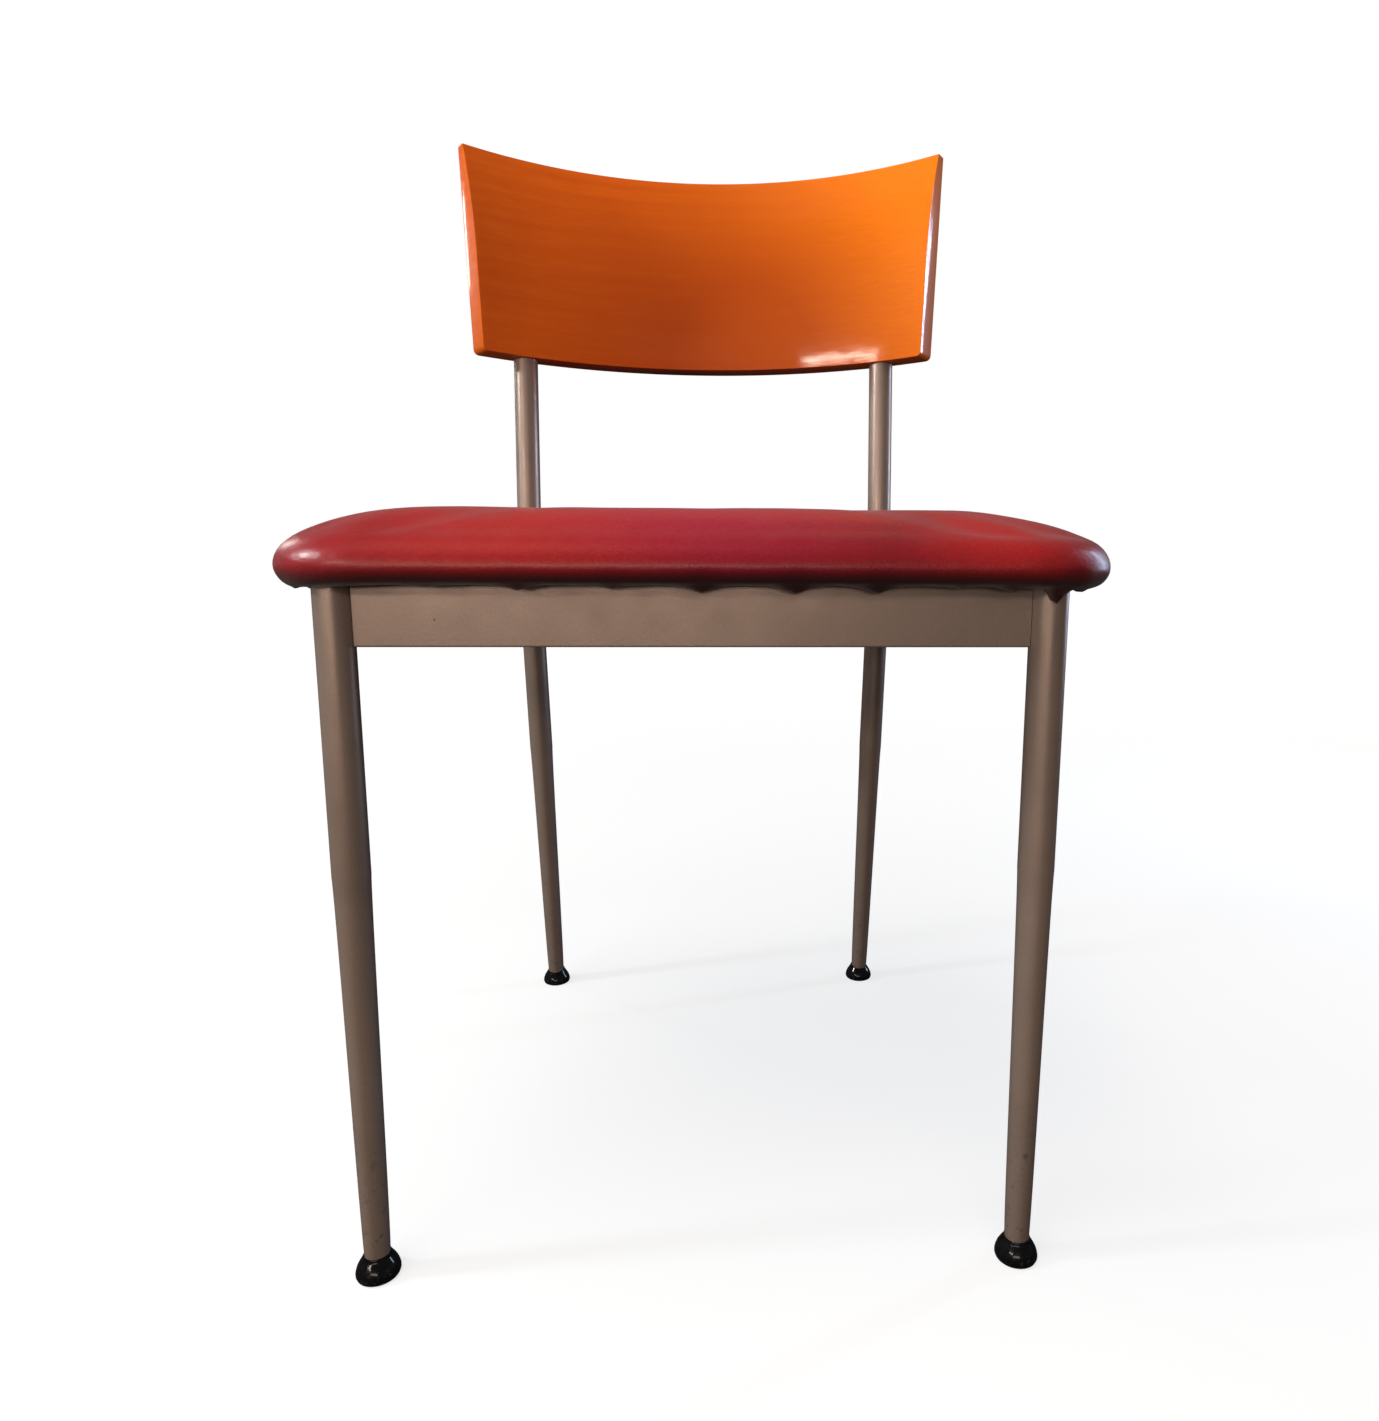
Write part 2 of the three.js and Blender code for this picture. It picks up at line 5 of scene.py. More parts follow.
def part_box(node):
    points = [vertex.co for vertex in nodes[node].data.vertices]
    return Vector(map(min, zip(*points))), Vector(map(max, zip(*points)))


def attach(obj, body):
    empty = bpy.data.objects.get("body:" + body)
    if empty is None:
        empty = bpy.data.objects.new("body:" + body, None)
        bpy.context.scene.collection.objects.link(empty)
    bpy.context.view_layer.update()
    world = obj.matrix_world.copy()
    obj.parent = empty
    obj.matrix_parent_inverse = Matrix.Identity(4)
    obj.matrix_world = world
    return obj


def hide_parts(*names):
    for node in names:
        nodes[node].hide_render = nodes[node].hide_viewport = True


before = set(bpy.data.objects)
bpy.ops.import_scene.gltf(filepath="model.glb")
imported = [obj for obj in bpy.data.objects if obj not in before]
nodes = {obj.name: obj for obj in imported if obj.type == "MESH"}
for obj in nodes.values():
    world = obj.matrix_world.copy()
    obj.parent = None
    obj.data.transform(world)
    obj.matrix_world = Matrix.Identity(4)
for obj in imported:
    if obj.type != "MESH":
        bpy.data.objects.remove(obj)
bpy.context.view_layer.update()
print("frame loaded:", len(nodes), "nodes")

scene = bpy.context.scene
mm = 0.001


# the moves one makes by hand
def deselectAll():
    if bpy.context.object and bpy.context.object.mode != "OBJECT":
        bpy.ops.object.mode_set(mode="OBJECT")
    bpy.ops.object.select_all(action="DESELECT")


def makeActive(piece):
    deselectAll()
    piece.select_set(True)
    bpy.context.view_layer.objects.active = piece


def startEditing(piece, kind="VERT", action="DESELECT"):
    makeActive(piece)
    bpy.ops.object.mode_set(mode="EDIT")
    bpy.ops.mesh.select_mode(type=kind)
    bpy.ops.mesh.select_all(action=action)


def stopEditing():
    bpy.ops.object.mode_set(mode="OBJECT")


def pickFaces(piece, test):        # in edit mode: selects the faces that pass the test
    mesh = bmesh.from_edit_mesh(piece.data)
    for face in mesh.faces:
        face.select = test(face)
    mesh.select_flush_mode()
    bmesh.update_edit_mesh(piece.data)


def useModifier(piece, kind, **settings):        # adds it, sets it and applies it
    makeActive(piece)
    modifier = piece.modifiers.new(kind.title(), kind)
    for name, value in settings.items():
        setattr(modifier, name, value)
    bpy.ops.object.modifier_apply(modifier=modifier.name)


def finishPiece(piece, name, material, replaced=(), smoothAngle=35):
    makeActive(piece)
    bpy.ops.object.transform_apply(location=True, rotation=True, scale=True)
    startEditing(piece, action="SELECT")
    bpy.ops.mesh.remove_doubles(threshold=0.00001)
    bpy.ops.mesh.normals_make_consistent(inside=False)
    stopEditing()
    bpy.ops.object.shade_smooth_by_angle(angle=math.radians(smoothAngle))
    piece.name = piece.data.name = name
    piece.data.materials.clear()
    piece.data.materials.append(material)
    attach(piece, "root")
    if replaced:
        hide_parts(*replaced)
    return piece


def growRings(rings, sides, middle=(0, 0)):        # a ring of corners pulled up ring by ring
    radius, height = rings[0]
    bpy.ops.mesh.primitive_circle_add(
        vertices=sides, radius=radius, fill_type="NGON", location=(*middle, height)
    )
    piece = bpy.context.object
    startEditing(piece, action="SELECT")
    for (oldRadius, oldHeight), (newRadius, newHeight) in zip(rings, rings[1:]):
        lift = {"value": (0, 0, newHeight - oldHeight)}
        bpy.ops.mesh.extrude_region_move(TRANSFORM_OT_translate=lift)
        grow = newRadius / oldRadius
        bpy.ops.transform.resize(value=(grow, grow, 1), center_override=(*middle, newHeight))
    stopEditing()
    return piece


def drawTube(points, sides):        # points: (place, radius, handle before, handle after)
    bpy.ops.curve.primitive_bezier_curve_add(location=(0, 0, 0))
    curve = bpy.context.object
    spline = curve.data.splines[0]
    spline.bezier_points.add(len(points) - len(spline.bezier_points))
    for knot, (place, radius, before, after) in zip(spline.bezier_points, points):
        knot.handle_left_type = knot.handle_right_type = "FREE"
        knot.co, knot.radius = place, radius
        knot.handle_left, knot.handle_right = before, after
    curve.data.dimensions = "3D"
    curve.data.resolution_u = 20
    curve.data.bevel_depth = 1
    curve.data.bevel_resolution = sides // 4
    curve.data.use_fill_caps = True
    spline.radius_interpolation = "LINEAR"
    makeActive(curve)
    bpy.ops.object.convert(target="MESH")
    return bpy.context.object


# camera: at the height of the seat's edge, looking a little down
cameraView = {
    "place": (0.0119, -0.7204, 0.4220),
    "turn": (79.945, -0.226, -2.424),
    "lens": 24.07,
    "shift": (-0.0493, 0.0158),
}


def addCamera():
    bpy.ops.object.camera_add(location=cameraView["place"])
    camera = bpy.context.object
    camera.rotation_euler = [math.radians(turn) for turn in cameraView["turn"]]
    camera.data.lens = cameraView["lens"]
    camera.data.shift_x, camera.data.shift_y = cameraView["shift"]
    camera.data.clip_start = 0.01
    scene.camera = camera


# node helpers
def feed(tree, socket, value):        # a link from another socket, or a plain value
    if isinstance(value, bpy.types.NodeSocket):
        tree.links.new(value, socket)
    else:
        socket.default_value = value


def addNode(tree, kind, inputs=None, **settings):
    node = tree.nodes.new(kind)
    for name, value in settings.items():
        setattr(node, name, value)
    for name, value in (inputs or {}).items():
        feed(tree, node.inputs[name], value)
    return node


def calculate(tree, operation, first, second=0.0, clamp=False):
    inputs = {0: first, 1: second}
    return addNode(tree, "ShaderNodeMath", inputs, operation=operation, use_clamp=clamp).outputs[0]


def spread(tree, value, low, high, start=0.0, end=1.0):        # low..high becomes start..end
    inputs = {"Value": value, "From Min": low, "From Max": high, "To Min": start, "To Max": end}
    return addNode(tree, "ShaderNodeMapRange", inputs).outputs["Result"]


def blendColours(tree, factor, first, second, mode="MIX"):
    node = addNode(tree, "ShaderNodeMix", data_type="RGBA", blend_type=mode)
    colours = [socket for socket in node.inputs if socket.type == "RGBA"]
    for socket, value in zip([node.inputs[0], *colours], [factor, first, second]):
        feed(tree, socket, value)
    return next(socket for socket in node.outputs if socket.type == "RGBA")


def toneOf(tree, place, scale, look):        # wanders between a look's dark and light tones
    tone = useGroup(tree, toneDrift, Place=place, Scale=scale, Dark=look["dark"], Light=look["light"])
    return tone["Colour"]


def noiseField(tree, place, scale, detail=2.0, roughness=0.5):
    inputs = {"Vector": place, "Scale": scale, "Detail": detail, "Roughness": roughness}
    return addNode(tree, "ShaderNodeTexNoise", inputs).outputs["Fac"]


def newGroup(name, inputs, outputs):
    group = bpy.data.node_groups.new(name, "ShaderNodeTree")
    kinds = {"number": "NodeSocketFloat", "colour": "NodeSocketColor", "vector": "NodeSocketVector"}
    for direction, sockets in (("INPUT", inputs), ("OUTPUT", outputs)):
        for socketName, kind in sockets:
            group.interface.new_socket(name=socketName, in_out=direction, socket_type=kinds[kind])
    given = group.nodes.new("NodeGroupInput").outputs
    result = group.nodes.new("NodeGroupOutput").inputs
    return group, given, result


def useGroup(tree, group, **inputs):
    node = tree.nodes.new("ShaderNodeGroup")
    node.node_tree = group
    for name, value in inputs.items():
        feed(tree, node.inputs[name], value)
    return node.outputs


# effects that several finishes share
def makeToneDrift():        # a colour that wanders slowly between two tones
    group, given, result = newGroup(
        "toneDrift",
        [("Place", "vector"), ("Scale", "number"), ("Dark", "colour"), ("Light", "colour")],
        [("Colour", "colour")],
    )
    drift = noiseField(group, given["Place"], given["Scale"], 4, 0.55)
    share = spread(group, drift, 0.3, 0.7)
    mixed = blendColours(group, share, given["Dark"], given["Light"])
    group.links.new(mixed, result["Colour"])
    return group


def makeSpotMark():        # a soft or ragged spot round one place
    group, given, result = newGroup(
        "spotMark",
        [("Place", "vector"), ("Middle", "vector"), ("Reach", "number"), ("Ragged", "number")],
        [("Mask", "number")],
    )
    reach = addNode(
        group,
        "ShaderNodeVectorMath",
        {0: given["Place"], 1: given["Middle"]},
        operation="DISTANCE",
    ).outputs["Value"]
    share = calculate(group, "DIVIDE", reach, given["Reach"])
    fray = calculate(group, "SUBTRACT", noiseField(group, given["Place"], 420, 3), 0.5)
    ragged = calculate(group, "MULTIPLY", fray, given["Ragged"])
    edge = calculate(group, "ADD", share, ragged)
    group.links.new(spread(group, edge, 1.0, 0.35), result["Mask"])
    return group


def makeRubs():        # rubbed and scuffed low on the piece, less and less towards a height
    group, given, result = newGroup(
        "rubs",
        [("Place", "vector"), ("Height", "number"), ("Scale", "number"), ("Amount", "number")],
        [("Mask", "number")],
    )
    height = addNode(group, "ShaderNodeSeparateXYZ", {0: given["Place"]}).outputs["Z"]
    low = calculate(group, "SUBTRACT", 1.0, calculate(group, "DIVIDE", height, given["Height"]), True)
    specks = spread(group, noiseField(group, given["Place"], given["Scale"], 5, 0.7), 0.56, 0.68)
    both = calculate(group, "MULTIPLY", low, specks)
    group.links.new(calculate(group, "MULTIPLY", both, given["Amount"], True), result["Mask"])
    return group


def makeDustVeil():        # dust that settles where a surface faces up
    group, given, result = newGroup(
        "dustVeil", [("Place", "vector"), ("Amount", "number")], [("Mask", "number")]
    )
    normal = group.nodes.new("ShaderNodeNewGeometry").outputs["Normal"]
    upward = addNode(group, "ShaderNodeSeparateXYZ", {0: normal}).outputs["Z"]
    facing = spread(group, upward, 0.55, 1.0)
    patches = spread(group, noiseField(group, given["Place"], 60, 5, 0.65), 0.42, 0.75)
    both = calculate(group, "MULTIPLY", facing, patches)
    group.links.new(calculate(group, "MULTIPLY", both, given["Amount"]), result["Mask"])
    return group


def makeWoodFigure():        # grain that runs along X, in fine pores and broad bands
    group, given, result = newGroup(
        "woodFigure",
        [("Place", "vector"), ("Stretch", "vector"), ("Fineness", "number")],
        [("Bands", "number"), ("Pores", "number")],
    )
    drawn = addNode(
        group,
        "ShaderNodeVectorMath",
        {0: given["Place"], 1: given["Stretch"]},
        operation="MULTIPLY",
    ).outputs["Vector"]
    fine = calculate(group, "MULTIPLY", given["Fineness"], 9.0)
    bands = noiseField(group, drawn, given["Fineness"], 3, 0.6)
    pores = noiseField(group, drawn, fine, 4, 0.6)
    group.links.new(spread(group, bands, 0.3, 0.7), result["Bands"])
    group.links.new(spread(group, pores, 0.35, 0.65), result["Pores"])
    return group


def makeFineRelief():        # pebbles and pits, as a height for bump
    group, given, result = newGroup(
        "fineRelief",
        [("Place", "vector"), ("Scale", "number"), ("Pebble", "number"), ("Grit", "number")],
        [("Height", "number")],
    )
    cells = addNode(
        group,
        "ShaderNodeTexVoronoi",
        {"Vector": given["Place"], "Scale": given["Scale"]},
        feature="SMOOTH_F1",
    ).outputs["Distance"]
    pebbles = calculate(group, "MULTIPLY", cells, given["Pebble"])
    gritScale = calculate(group, "MULTIPLY", given["Scale"], 1.7)
    grit = calculate(group, "MULTIPLY", noiseField(group, given["Place"], gritScale, 4), given["Grit"])
    group.links.new(calculate(group, "ADD", pebbles, grit), result["Height"])
    return group


toneDrift = makeToneDrift()
spotMark = makeSpotMark()
rubs = makeRubs()
dustVeil = makeDustVeil()
woodFigure = makeWoodFigure()
fineRelief = makeFineRelief()
print("shared effects ready")


# finishes
def newFinish(name):
    material = bpy.data.materials.new(name)
    material.use_nodes = True
    tree = material.node_tree
    shader = tree.nodes["Principled BSDF"]
    place = tree.nodes.new("ShaderNodeTexCoord").outputs["Object"]
    return material, tree, shader, place


def connect(tree, shader, **sockets):
    for name, value in sockets.items():
        feed(tree, shader.inputs[name.replace("_", " ")], value)


def bumpFrom(tree, height, distance):
    inputs = {"Height": height, "Distance": distance, "Strength": 1.0}
    return addNode(tree, "ShaderNodeBump", inputs).outputs["Normal"]


def tintSpots(tree, place, colour, spots, tint, share, ragged):        # patches of another tone
    for middle, reach in spots:
        patch = useGroup(tree, spotMark, Place=place, Middle=middle, Reach=reach, Ragged=ragged)["Mask"]
        colour = blendColours(tree, calculate(tree, "MULTIPLY", patch, share), colour, tint)
    return colour


framePaintLook = {
    "dark": (0.35, 0.268, 0.222, 1),
    "light": (0.42, 0.322, 0.270, 1),
    "bareSteel": (0.16, 0.145, 0.135, 1),
    "dust": (0.45, 0.42, 0.38, 1),
    "chips": [        # two on the right front leg and a speck on the rail: place and reach
        ((0.1945, -0.2125, 0.073), 0.0028),
        ((0.1925, -0.2118, 0.034), 0.0014),
        ((-0.1400, -0.2032, 0.3920), 0.0009),
    ],
    "metallic": 0.55,
}


def makeFramePaint():
    look = framePaintLook
    material, tree, shader, place = newFinish("framePaint")
    tone = toneOf(tree, place, 9.0, look)
    flake = spread(tree, noiseField(tree, place, 2600, 2, 0.8), 0.3, 0.7, 0.86, 1.12)
    flaked = blendColours(tree, 1.0, tone, flake, "MULTIPLY")
    dust = useGroup(tree, dustVeil, Place=place, Amount=0.35)["Mask"]
    dusty = blendColours(tree, dust, flaked, look["dust"])
    worn = useGroup(tree, rubs, Place=place, Height=0.16, Scale=260.0, Amount=0.9)["Mask"]
    for middle, reach in look["chips"]:
        spot = useGroup(tree, spotMark, Place=place, Middle=middle, Reach=reach, Ragged=0.9)["Mask"]
        worn = calculate(tree, "MAXIMUM", worn, spot)
    colour = blendColours(tree, worn, dusty, look["bareSteel"])
    peel = useGroup(tree, fineRelief, Place=place, Scale=420.0, Pebble=0.5, Grit=0.35)["Height"]
    height = calculate(tree, "SUBTRACT", peel, worn)
    mottle = spread(tree, noiseField(tree, place, 45, 4), 0.3, 0.7, 0.33, 0.43)
    roughness = calculate(tree, "ADD", mottle, calculate(tree, "MULTIPLY", dust, 0.25))
    normal = bumpFrom(tree, height, 0.00006)
    connect(tree, shader, Base_Color=colour, Roughness=roughness, Normal=normal)
    connect(tree, shader, Metallic=look["metallic"], Coat_Weight=0.12, Coat_Roughness=0.25)
    return material


glidePlasticLook = {
    "dark": (0.002, 0.002, 0.003, 1),
    "light": (0.006, 0.006, 0.007, 1),
    "scuffed": (0.06, 0.058, 0.055, 1),
    "dust": (0.15, 0.14, 0.13, 1),
}


def makeGlidePlastic():
    look = glidePlasticLook
    material, tree, shader, place = newFinish("glidePlastic")
    tone = toneOf(tree, place, 60.0, look)
    scuffs = useGroup(tree, rubs, Place=place, Height=0.012, Scale=420.0, Amount=0.8)["Mask"]
    dust = useGroup(tree, dustVeil, Place=place, Amount=0.012)["Mask"]
    grey = blendColours(tree, scuffs, tone, look["scuffed"])
    colour = blendColours(tree, dust, grey, look["dust"])
    roughness = calculate(tree, "ADD", calculate(tree, "MULTIPLY", scuffs, 0.4), 0.13)
    relief = useGroup(tree, fineRelief, Place=place, Scale=700.0, Pebble=0.2, Grit=0.5)["Height"]
    connect(tree, shader, Base_Color=colour, Roughness=roughness, Normal=bumpFrom(tree, relief, 0.00003))
    connect(tree, shader, Coat_Weight=0.15, Coat_Roughness=0.05, Specular_IOR_Level=0.25)
    return material


seatLeatherLook = {
    "dark": (0.205, 0.008, 0.015, 1),
    "light": (0.290, 0.011, 0.019, 1),
    # painted light: a lighter red for the patches where light falls on the seat's top
    "paintedLitRed": (0.52, 0.022, 0.018, 1),
    "fadedPink": (0.54, 0.011, 0.064, 1),
    # painted light: where the lighter red patches lie, and their reach
    "paintedLitRedAt": [((-0.105, -0.175, 0.452), 0.125), ((0.160, -0.195, 0.440), 0.062)],
    "pinkAt": [((0.012, -0.130, 0.455), 0.130)],
    "dust": (0.35, 0.25, 0.24, 1),
    # painted shade: the near-black colour laid under the pad and on its lowest hem
    "paintedUnderShade": (0.012, 0.008, 0.009, 1),
    "hanging": (0.4065, 0.4100),        # heights: painted shade, the hem is dark below the first and red above the second
}


def makeSeatLeather():
    look = seatLeatherLook
    material, tree, shader, place = newFinish("seatLeather")
    colour = toneOf(tree, place, 7.0, look)
    # painted light: lighter red patches where light falls on the seat's top
    colour = tintSpots(tree, place, colour, look["paintedLitRedAt"], look["paintedLitRed"], 0.75, 0.1)
    colour = tintSpots(tree, place, colour, look["pinkAt"], look["fadedPink"], 0.7, 0.1)
    pebble = useGroup(tree, fineRelief, Place=place, Scale=820.0, Pebble=1.0, Grit=0.5)["Height"]
    creases = spread(tree, noiseField(tree, place, 110, 6, 0.7), 0.35, 0.65, 0.0, 1.6)
    height = calculate(tree, "ADD", pebble, creases)
    inGrain = spread(tree, pebble, 0.2, 0.9, 1.0, 0.78)
    grained = blendColours(tree, 1.0, colour, inGrain, "MULTIPLY")
    dust = useGroup(tree, dustVeil, Place=place, Amount=0.05)["Mask"]
    dusty = blendColours(tree, dust, grained, look["dust"])
    # painted shade: the cover is darkened where it faces down and where the hem hangs lowest
    normal = tree.nodes.new("ShaderNodeNewGeometry").outputs["Normal"]
    facingUp = addNode(tree, "ShaderNodeSeparateXYZ", {0: normal}).outputs["Z"]
    facingDownShade = spread(tree, facingUp, -0.75, 0.0, 0.9, 0.0)
    level = addNode(tree, "ShaderNodeSeparateXYZ", {0: place}).outputs["Z"]
    hanging = spread(tree, level, *look["hanging"], 0.9, 0.0)
    paintedUnderShade = calculate(tree, "MAXIMUM", facingDownShade, hanging)        # painted shade: darker where the cover faces down and where the hem hangs lowest
    colour = blendColours(tree, paintedUnderShade, dusty, look["paintedUnderShade"])
    roughness = spread(tree, noiseField(tree, place, 30, 4), 0.3, 0.7, 0.30, 0.40)
    connect(tree, shader, Base_Color=colour, Roughness=roughness, Normal=bumpFrom(tree, height, 0.00008))
    connect(tree, shader, Coat_Weight=0.14, Coat_Roughness=0.2, Specular_IOR_Level=0.45)
    connect(tree, shader, Sheen_Weight=0.08, Sheen_Roughness=0.4)
    return material


backWoodLook = {
    "stain": (0.66, 0.110, 0.005, 1),
    "honey": (0.74, 0.135, 0.006, 1),
    "pore": (0.44, 0.055, 0.003, 1),
    # painted light: a bright orange patch over the board's upper right, where light falls
    "paintedLightSpot": (1.0, 0.26, 0.006, 1),
    "paintedLightSpotAt": [((0.235, 0.10, 0.745), 0.33)],
    # painted shade: a darker, redder patch low in the middle of the board
    "paintedShadeSpot": (0.36, 0.042, 0.004, 1),
    "paintedShadeSpotAt": [((0.035, 0.215, 0.610), 0.19)],
}


def makeBackWood():
    look = backWoodLook
    material, tree, shader, place = newFinish("backWood")
    figure = useGroup(tree, woodFigure, Place=place, Stretch=(0.03, 0.1, 1.0), Fineness=120.0)
    base = blendColours(tree, figure["Bands"], look["stain"], look["honey"])
    # painted light: a bright patch over the board's upper right
    paintedLightSpot = tintSpots(tree, place, base, look["paintedLightSpotAt"], look["paintedLightSpot"], 0.75, 0.02)
    # painted shade: a darker patch low in the board's middle
    paintedShadeSpot = tintSpots(tree, place, paintedLightSpot, look["paintedShadeSpotAt"], look["paintedShadeSpot"], 0.7, 0.02)
    poreShare = spread(tree, figure["Pores"], 0.0, 1.0, 0.22, 0.0)
    colour = blendColours(tree, poreShare, paintedShadeSpot, look["pore"])
    roughness = spread(tree, figure["Pores"], 0.0, 1.0, 0.42, 0.34)
    ripple = calculate(tree, "MULTIPLY", noiseField(tree, place, 55, 3), 0.6)
    height = calculate(tree, "ADD", calculate(tree, "MULTIPLY", figure["Pores"], 0.25), ripple)
    normal = bumpFrom(tree, height, 0.00016)
    connect(tree, shader, Base_Color=colour, Roughness=roughness, Normal=normal)
    lacquer = spread(tree, figure["Pores"], 0.15, 0.75, 0.25, 0.95)        # thinner over the pores
    connect(tree, shader, Specular_IOR_Level=0.12, Coat_Weight=lacquer, Coat_Roughness=0.09)
    tree.links.new(bumpFrom(tree, ripple, 0.00018), shader.inputs["Coat Normal"])
    return material


plywoodLook = {
    "dark": (0.42, 0.27, 0.13, 1),
    "light": (0.60, 0.42, 0.23, 1),
    "glueLine": (0.20, 0.11, 0.05, 1),
    "ply": 1.5 * mm,
}


def makePlywood():
    look = plywoodLook
    material, tree, shader, place = newFinish("plywoodBoard")
    figure = useGroup(tree, woodFigure, Place=place, Stretch=(0.035, 1.0, 0.2), Fineness=30.0)
    face = blendColours(tree, figure["Bands"], look["dark"], look["light"])
    height = addNode(tree, "ShaderNodeSeparateXYZ", {0: place}).outputs["Z"]
    plies = calculate(tree, "PINGPONG", height, look["ply"])
    darker = spread(tree, plies, 0.0, look["ply"], 0.30, 0.0)
    colour = blendColours(tree, darker, face, look["glueLine"])
    normal = bumpFrom(tree, figure["Pores"], 0.0002)
    connect(tree, shader, Base_Color=colour, Roughness=spread(tree, figure["Pores"], 0, 1, 0.8, 0.65))
    connect(tree, shader, Normal=normal)
    return material


dustClothLook = {
    "dark": (0.006, 0.006, 0.007, 1),
    "light": (0.014, 0.014, 0.015, 1),
    "thread": (0.022, 0.021, 0.022, 1),
}


def makeDustCloth():
    look = dustClothLook
    material, tree, shader, place = newFinish("dustClothWeave")
    threads = [
        addNode(
            tree,
            "ShaderNodeTexWave",
            {"Vector": place, "Scale": 210.0, "Distortion": 1.2, "Detail Scale": 3.0},
            bands_direction=direction,
        ).outputs["Fac"]
        for direction in ("X", "Y")
    ]
    weave = calculate(tree, "MAXIMUM", *threads)
    tone = toneOf(tree, place, 20.0, look)
    colour = blendColours(tree, calculate(tree, "MULTIPLY", weave, 0.5), tone, look["thread"])
    relief = useGroup(tree, fineRelief, Place=place, Scale=900.0, Pebble=0.2, Grit=0.6)["Height"]
    height = calculate(tree, "ADD", weave, relief)
    roughness = spread(tree, weave, 0, 1, 0.95, 0.82)
    connect(tree, shader, Base_Color=colour, Roughness=roughness, Normal=bumpFrom(tree, height, 0.0002))
    connect(tree, shader, Sheen_Weight=0.2, Sheen_Roughness=0.5)
    return material


zincLook = {
    "dark": (0.42, 0.42, 0.43, 1),
    "light": (0.62, 0.62, 0.60, 1),
    "tarnish": (0.22, 0.20, 0.17, 1),
}


def makeZinc():
    look = zincLook
    material, tree, shader, place = newFinish("fastenerZinc")
    tone = toneOf(tree, place, 130.0, look)
    tarnish = spread(tree, noiseField(tree, place, 420, 5, 0.7), 0.5, 0.75)
    colour = blendColours(tree, calculate(tree, "MULTIPLY", tarnish, 0.4), tone, look["tarnish"])
    relief = useGroup(tree, fineRelief, Place=place, Scale=1500.0, Pebble=0.3, Grit=0.6)["Height"]
    roughness = spread(tree, tarnish, 0, 1, 0.28, 0.5)
    connect(tree, shader, Base_Color=colour, Roughness=roughness, Normal=bumpFrom(tree, relief, 0.00003))
    connect(tree, shader, Metallic=1.0)
    return material


framePaint = makeFramePaint()
glidePlastic = makeGlidePlastic()
seatLeather = makeSeatLeather()
backWood = makeBackWood()
plywoodBoard = makePlywood()
dustClothWeave = makeDustCloth()
fastenerZinc = makeZinc()


def paintNodes(material, *endings):        # the CAD nodes that keep their own shape
    for name, node in nodes.items():
        if name.endswith(endings):
            node.data.materials.clear()
            node.data.materials.append(material)


paintNodes(framePaint, "_rail", "_seat_plate")
paintNodes(fastenerZinc, "_screw", "_washer", "_tee_nut", "_spigot")
paintNodes(plywoodBoard, "seat_board")
print("finishes ready")


# legs: round tubes that narrow towards the floor
legs = {
    "fullRadius": 10.4 * mm,
    "footRadius": 7.2 * mm,
    "taper": 250 * mm,        # the tube narrows over this much of its length
    "footHeight": 13.5 * mm,
    "sides": 40,
    "bend": 150 * mm,        # radius of the rear tubes' bend
    "handle": 20 * mm,        # length of the curve handles along the straight stretches
    "frontFoot": (194.5 * mm, -203.305 * mm),
    "frontTop": (193.5 * mm, -200.705 * mm, 411.2 * mm),
    "rearFoot": (155.5 * mm, 204.295 * mm),
    "rearBend": (159.8 * mm, 166.295 * mm, 398 * mm),
    "rearTop": (158.7 * mm, 176.830 * mm, 599.4 * mm),
}


def radiusAt(along):
    share = min(along / legs["taper"], 1)
    return legs["footRadius"] + (legs["fullRadius"] - legs["footRadius"]) * share


def straightPoint(place, along, direction, reach=0.01):
    return (place, radiusAt(along), place - direction * reach, place + direction * reach)


def makeFrontLeg(side, name):
    foot = Vector((side * legs["frontFoot"][0], legs["frontFoot"][1], 0))
    top = Vector((side * legs["frontTop"][0], *legs["frontTop"][1:]))
    along = (top - foot).normalized()
    start = foot + along * legs["footHeight"]
    narrow = foot + along * legs["taper"]
    stops = [(start, legs["footHeight"]), (narrow, legs["taper"]), (top, (top - foot).length)]
    points = [straightPoint(place, length, along) for place, length in stops]
    tube = drawTube(points, legs["sides"])
    finishPiece(tube, f"{name}_front_tube", framePaint, [f"{name}_front_leg"])


def makeRearLeg(side, name):
    foot = Vector((side * legs["rearFoot"][0], legs["rearFoot"][1], 0))
    bend = Vector((side * legs["rearBend"][0], *legs["rearBend"][1:]))
    top = Vector((side * legs["rearTop"][0], *legs["rearTop"][1:]))
    down, up = (foot - bend).normalized(), (top - bend).normalized()
    setback = legs["bend"] * math.tan((math.pi - down.angle(up)) / 2)
    enter, leave = bend + down * setback, bend + up * setback
    start = foot - down * legs["footHeight"]
    narrow = foot - down * legs["taper"]
    full, handle = legs["fullRadius"], legs["handle"]
    points = [
        straightPoint(start, legs["footHeight"], -down),
        straightPoint(narrow, legs["taper"], -down),
        (enter, full, enter + down * handle, enter.lerp(bend, 2 / 3)),
        (leave, full, leave.lerp(bend, 2 / 3), leave + up * handle),
        (top, full, top - up * handle, top + up * handle),
    ]
    tube = drawTube(points, legs["sides"])
    finishPiece(tube, f"{name}_rear_tube", framePaint, [f"{name}_rear_leg"])


for name, side in (("left", -1), ("right", 1)):
    makeFrontLeg(side, name)
    makeRearLeg(side, name)
print("legs made")


# glides: black bells that the tubes stand in
glide = {
    "rings": [        # radius and height of each ring, from the floor up
        (9.8, 0.0), (11.3, 0.0), (12.4, 0.7), (12.95, 2.0), (13.0, 3.4), (12.6, 5.2), (11.9, 7.2),
        (10.8, 9.2), (9.7, 11.0), (8.8, 12.3), (8.3, 13.2), (8.05, 14.2), (7.8, 14.6),
        (7.5, 14.6), (7.3, 14.0),
    ],
    "sides": 48,
}


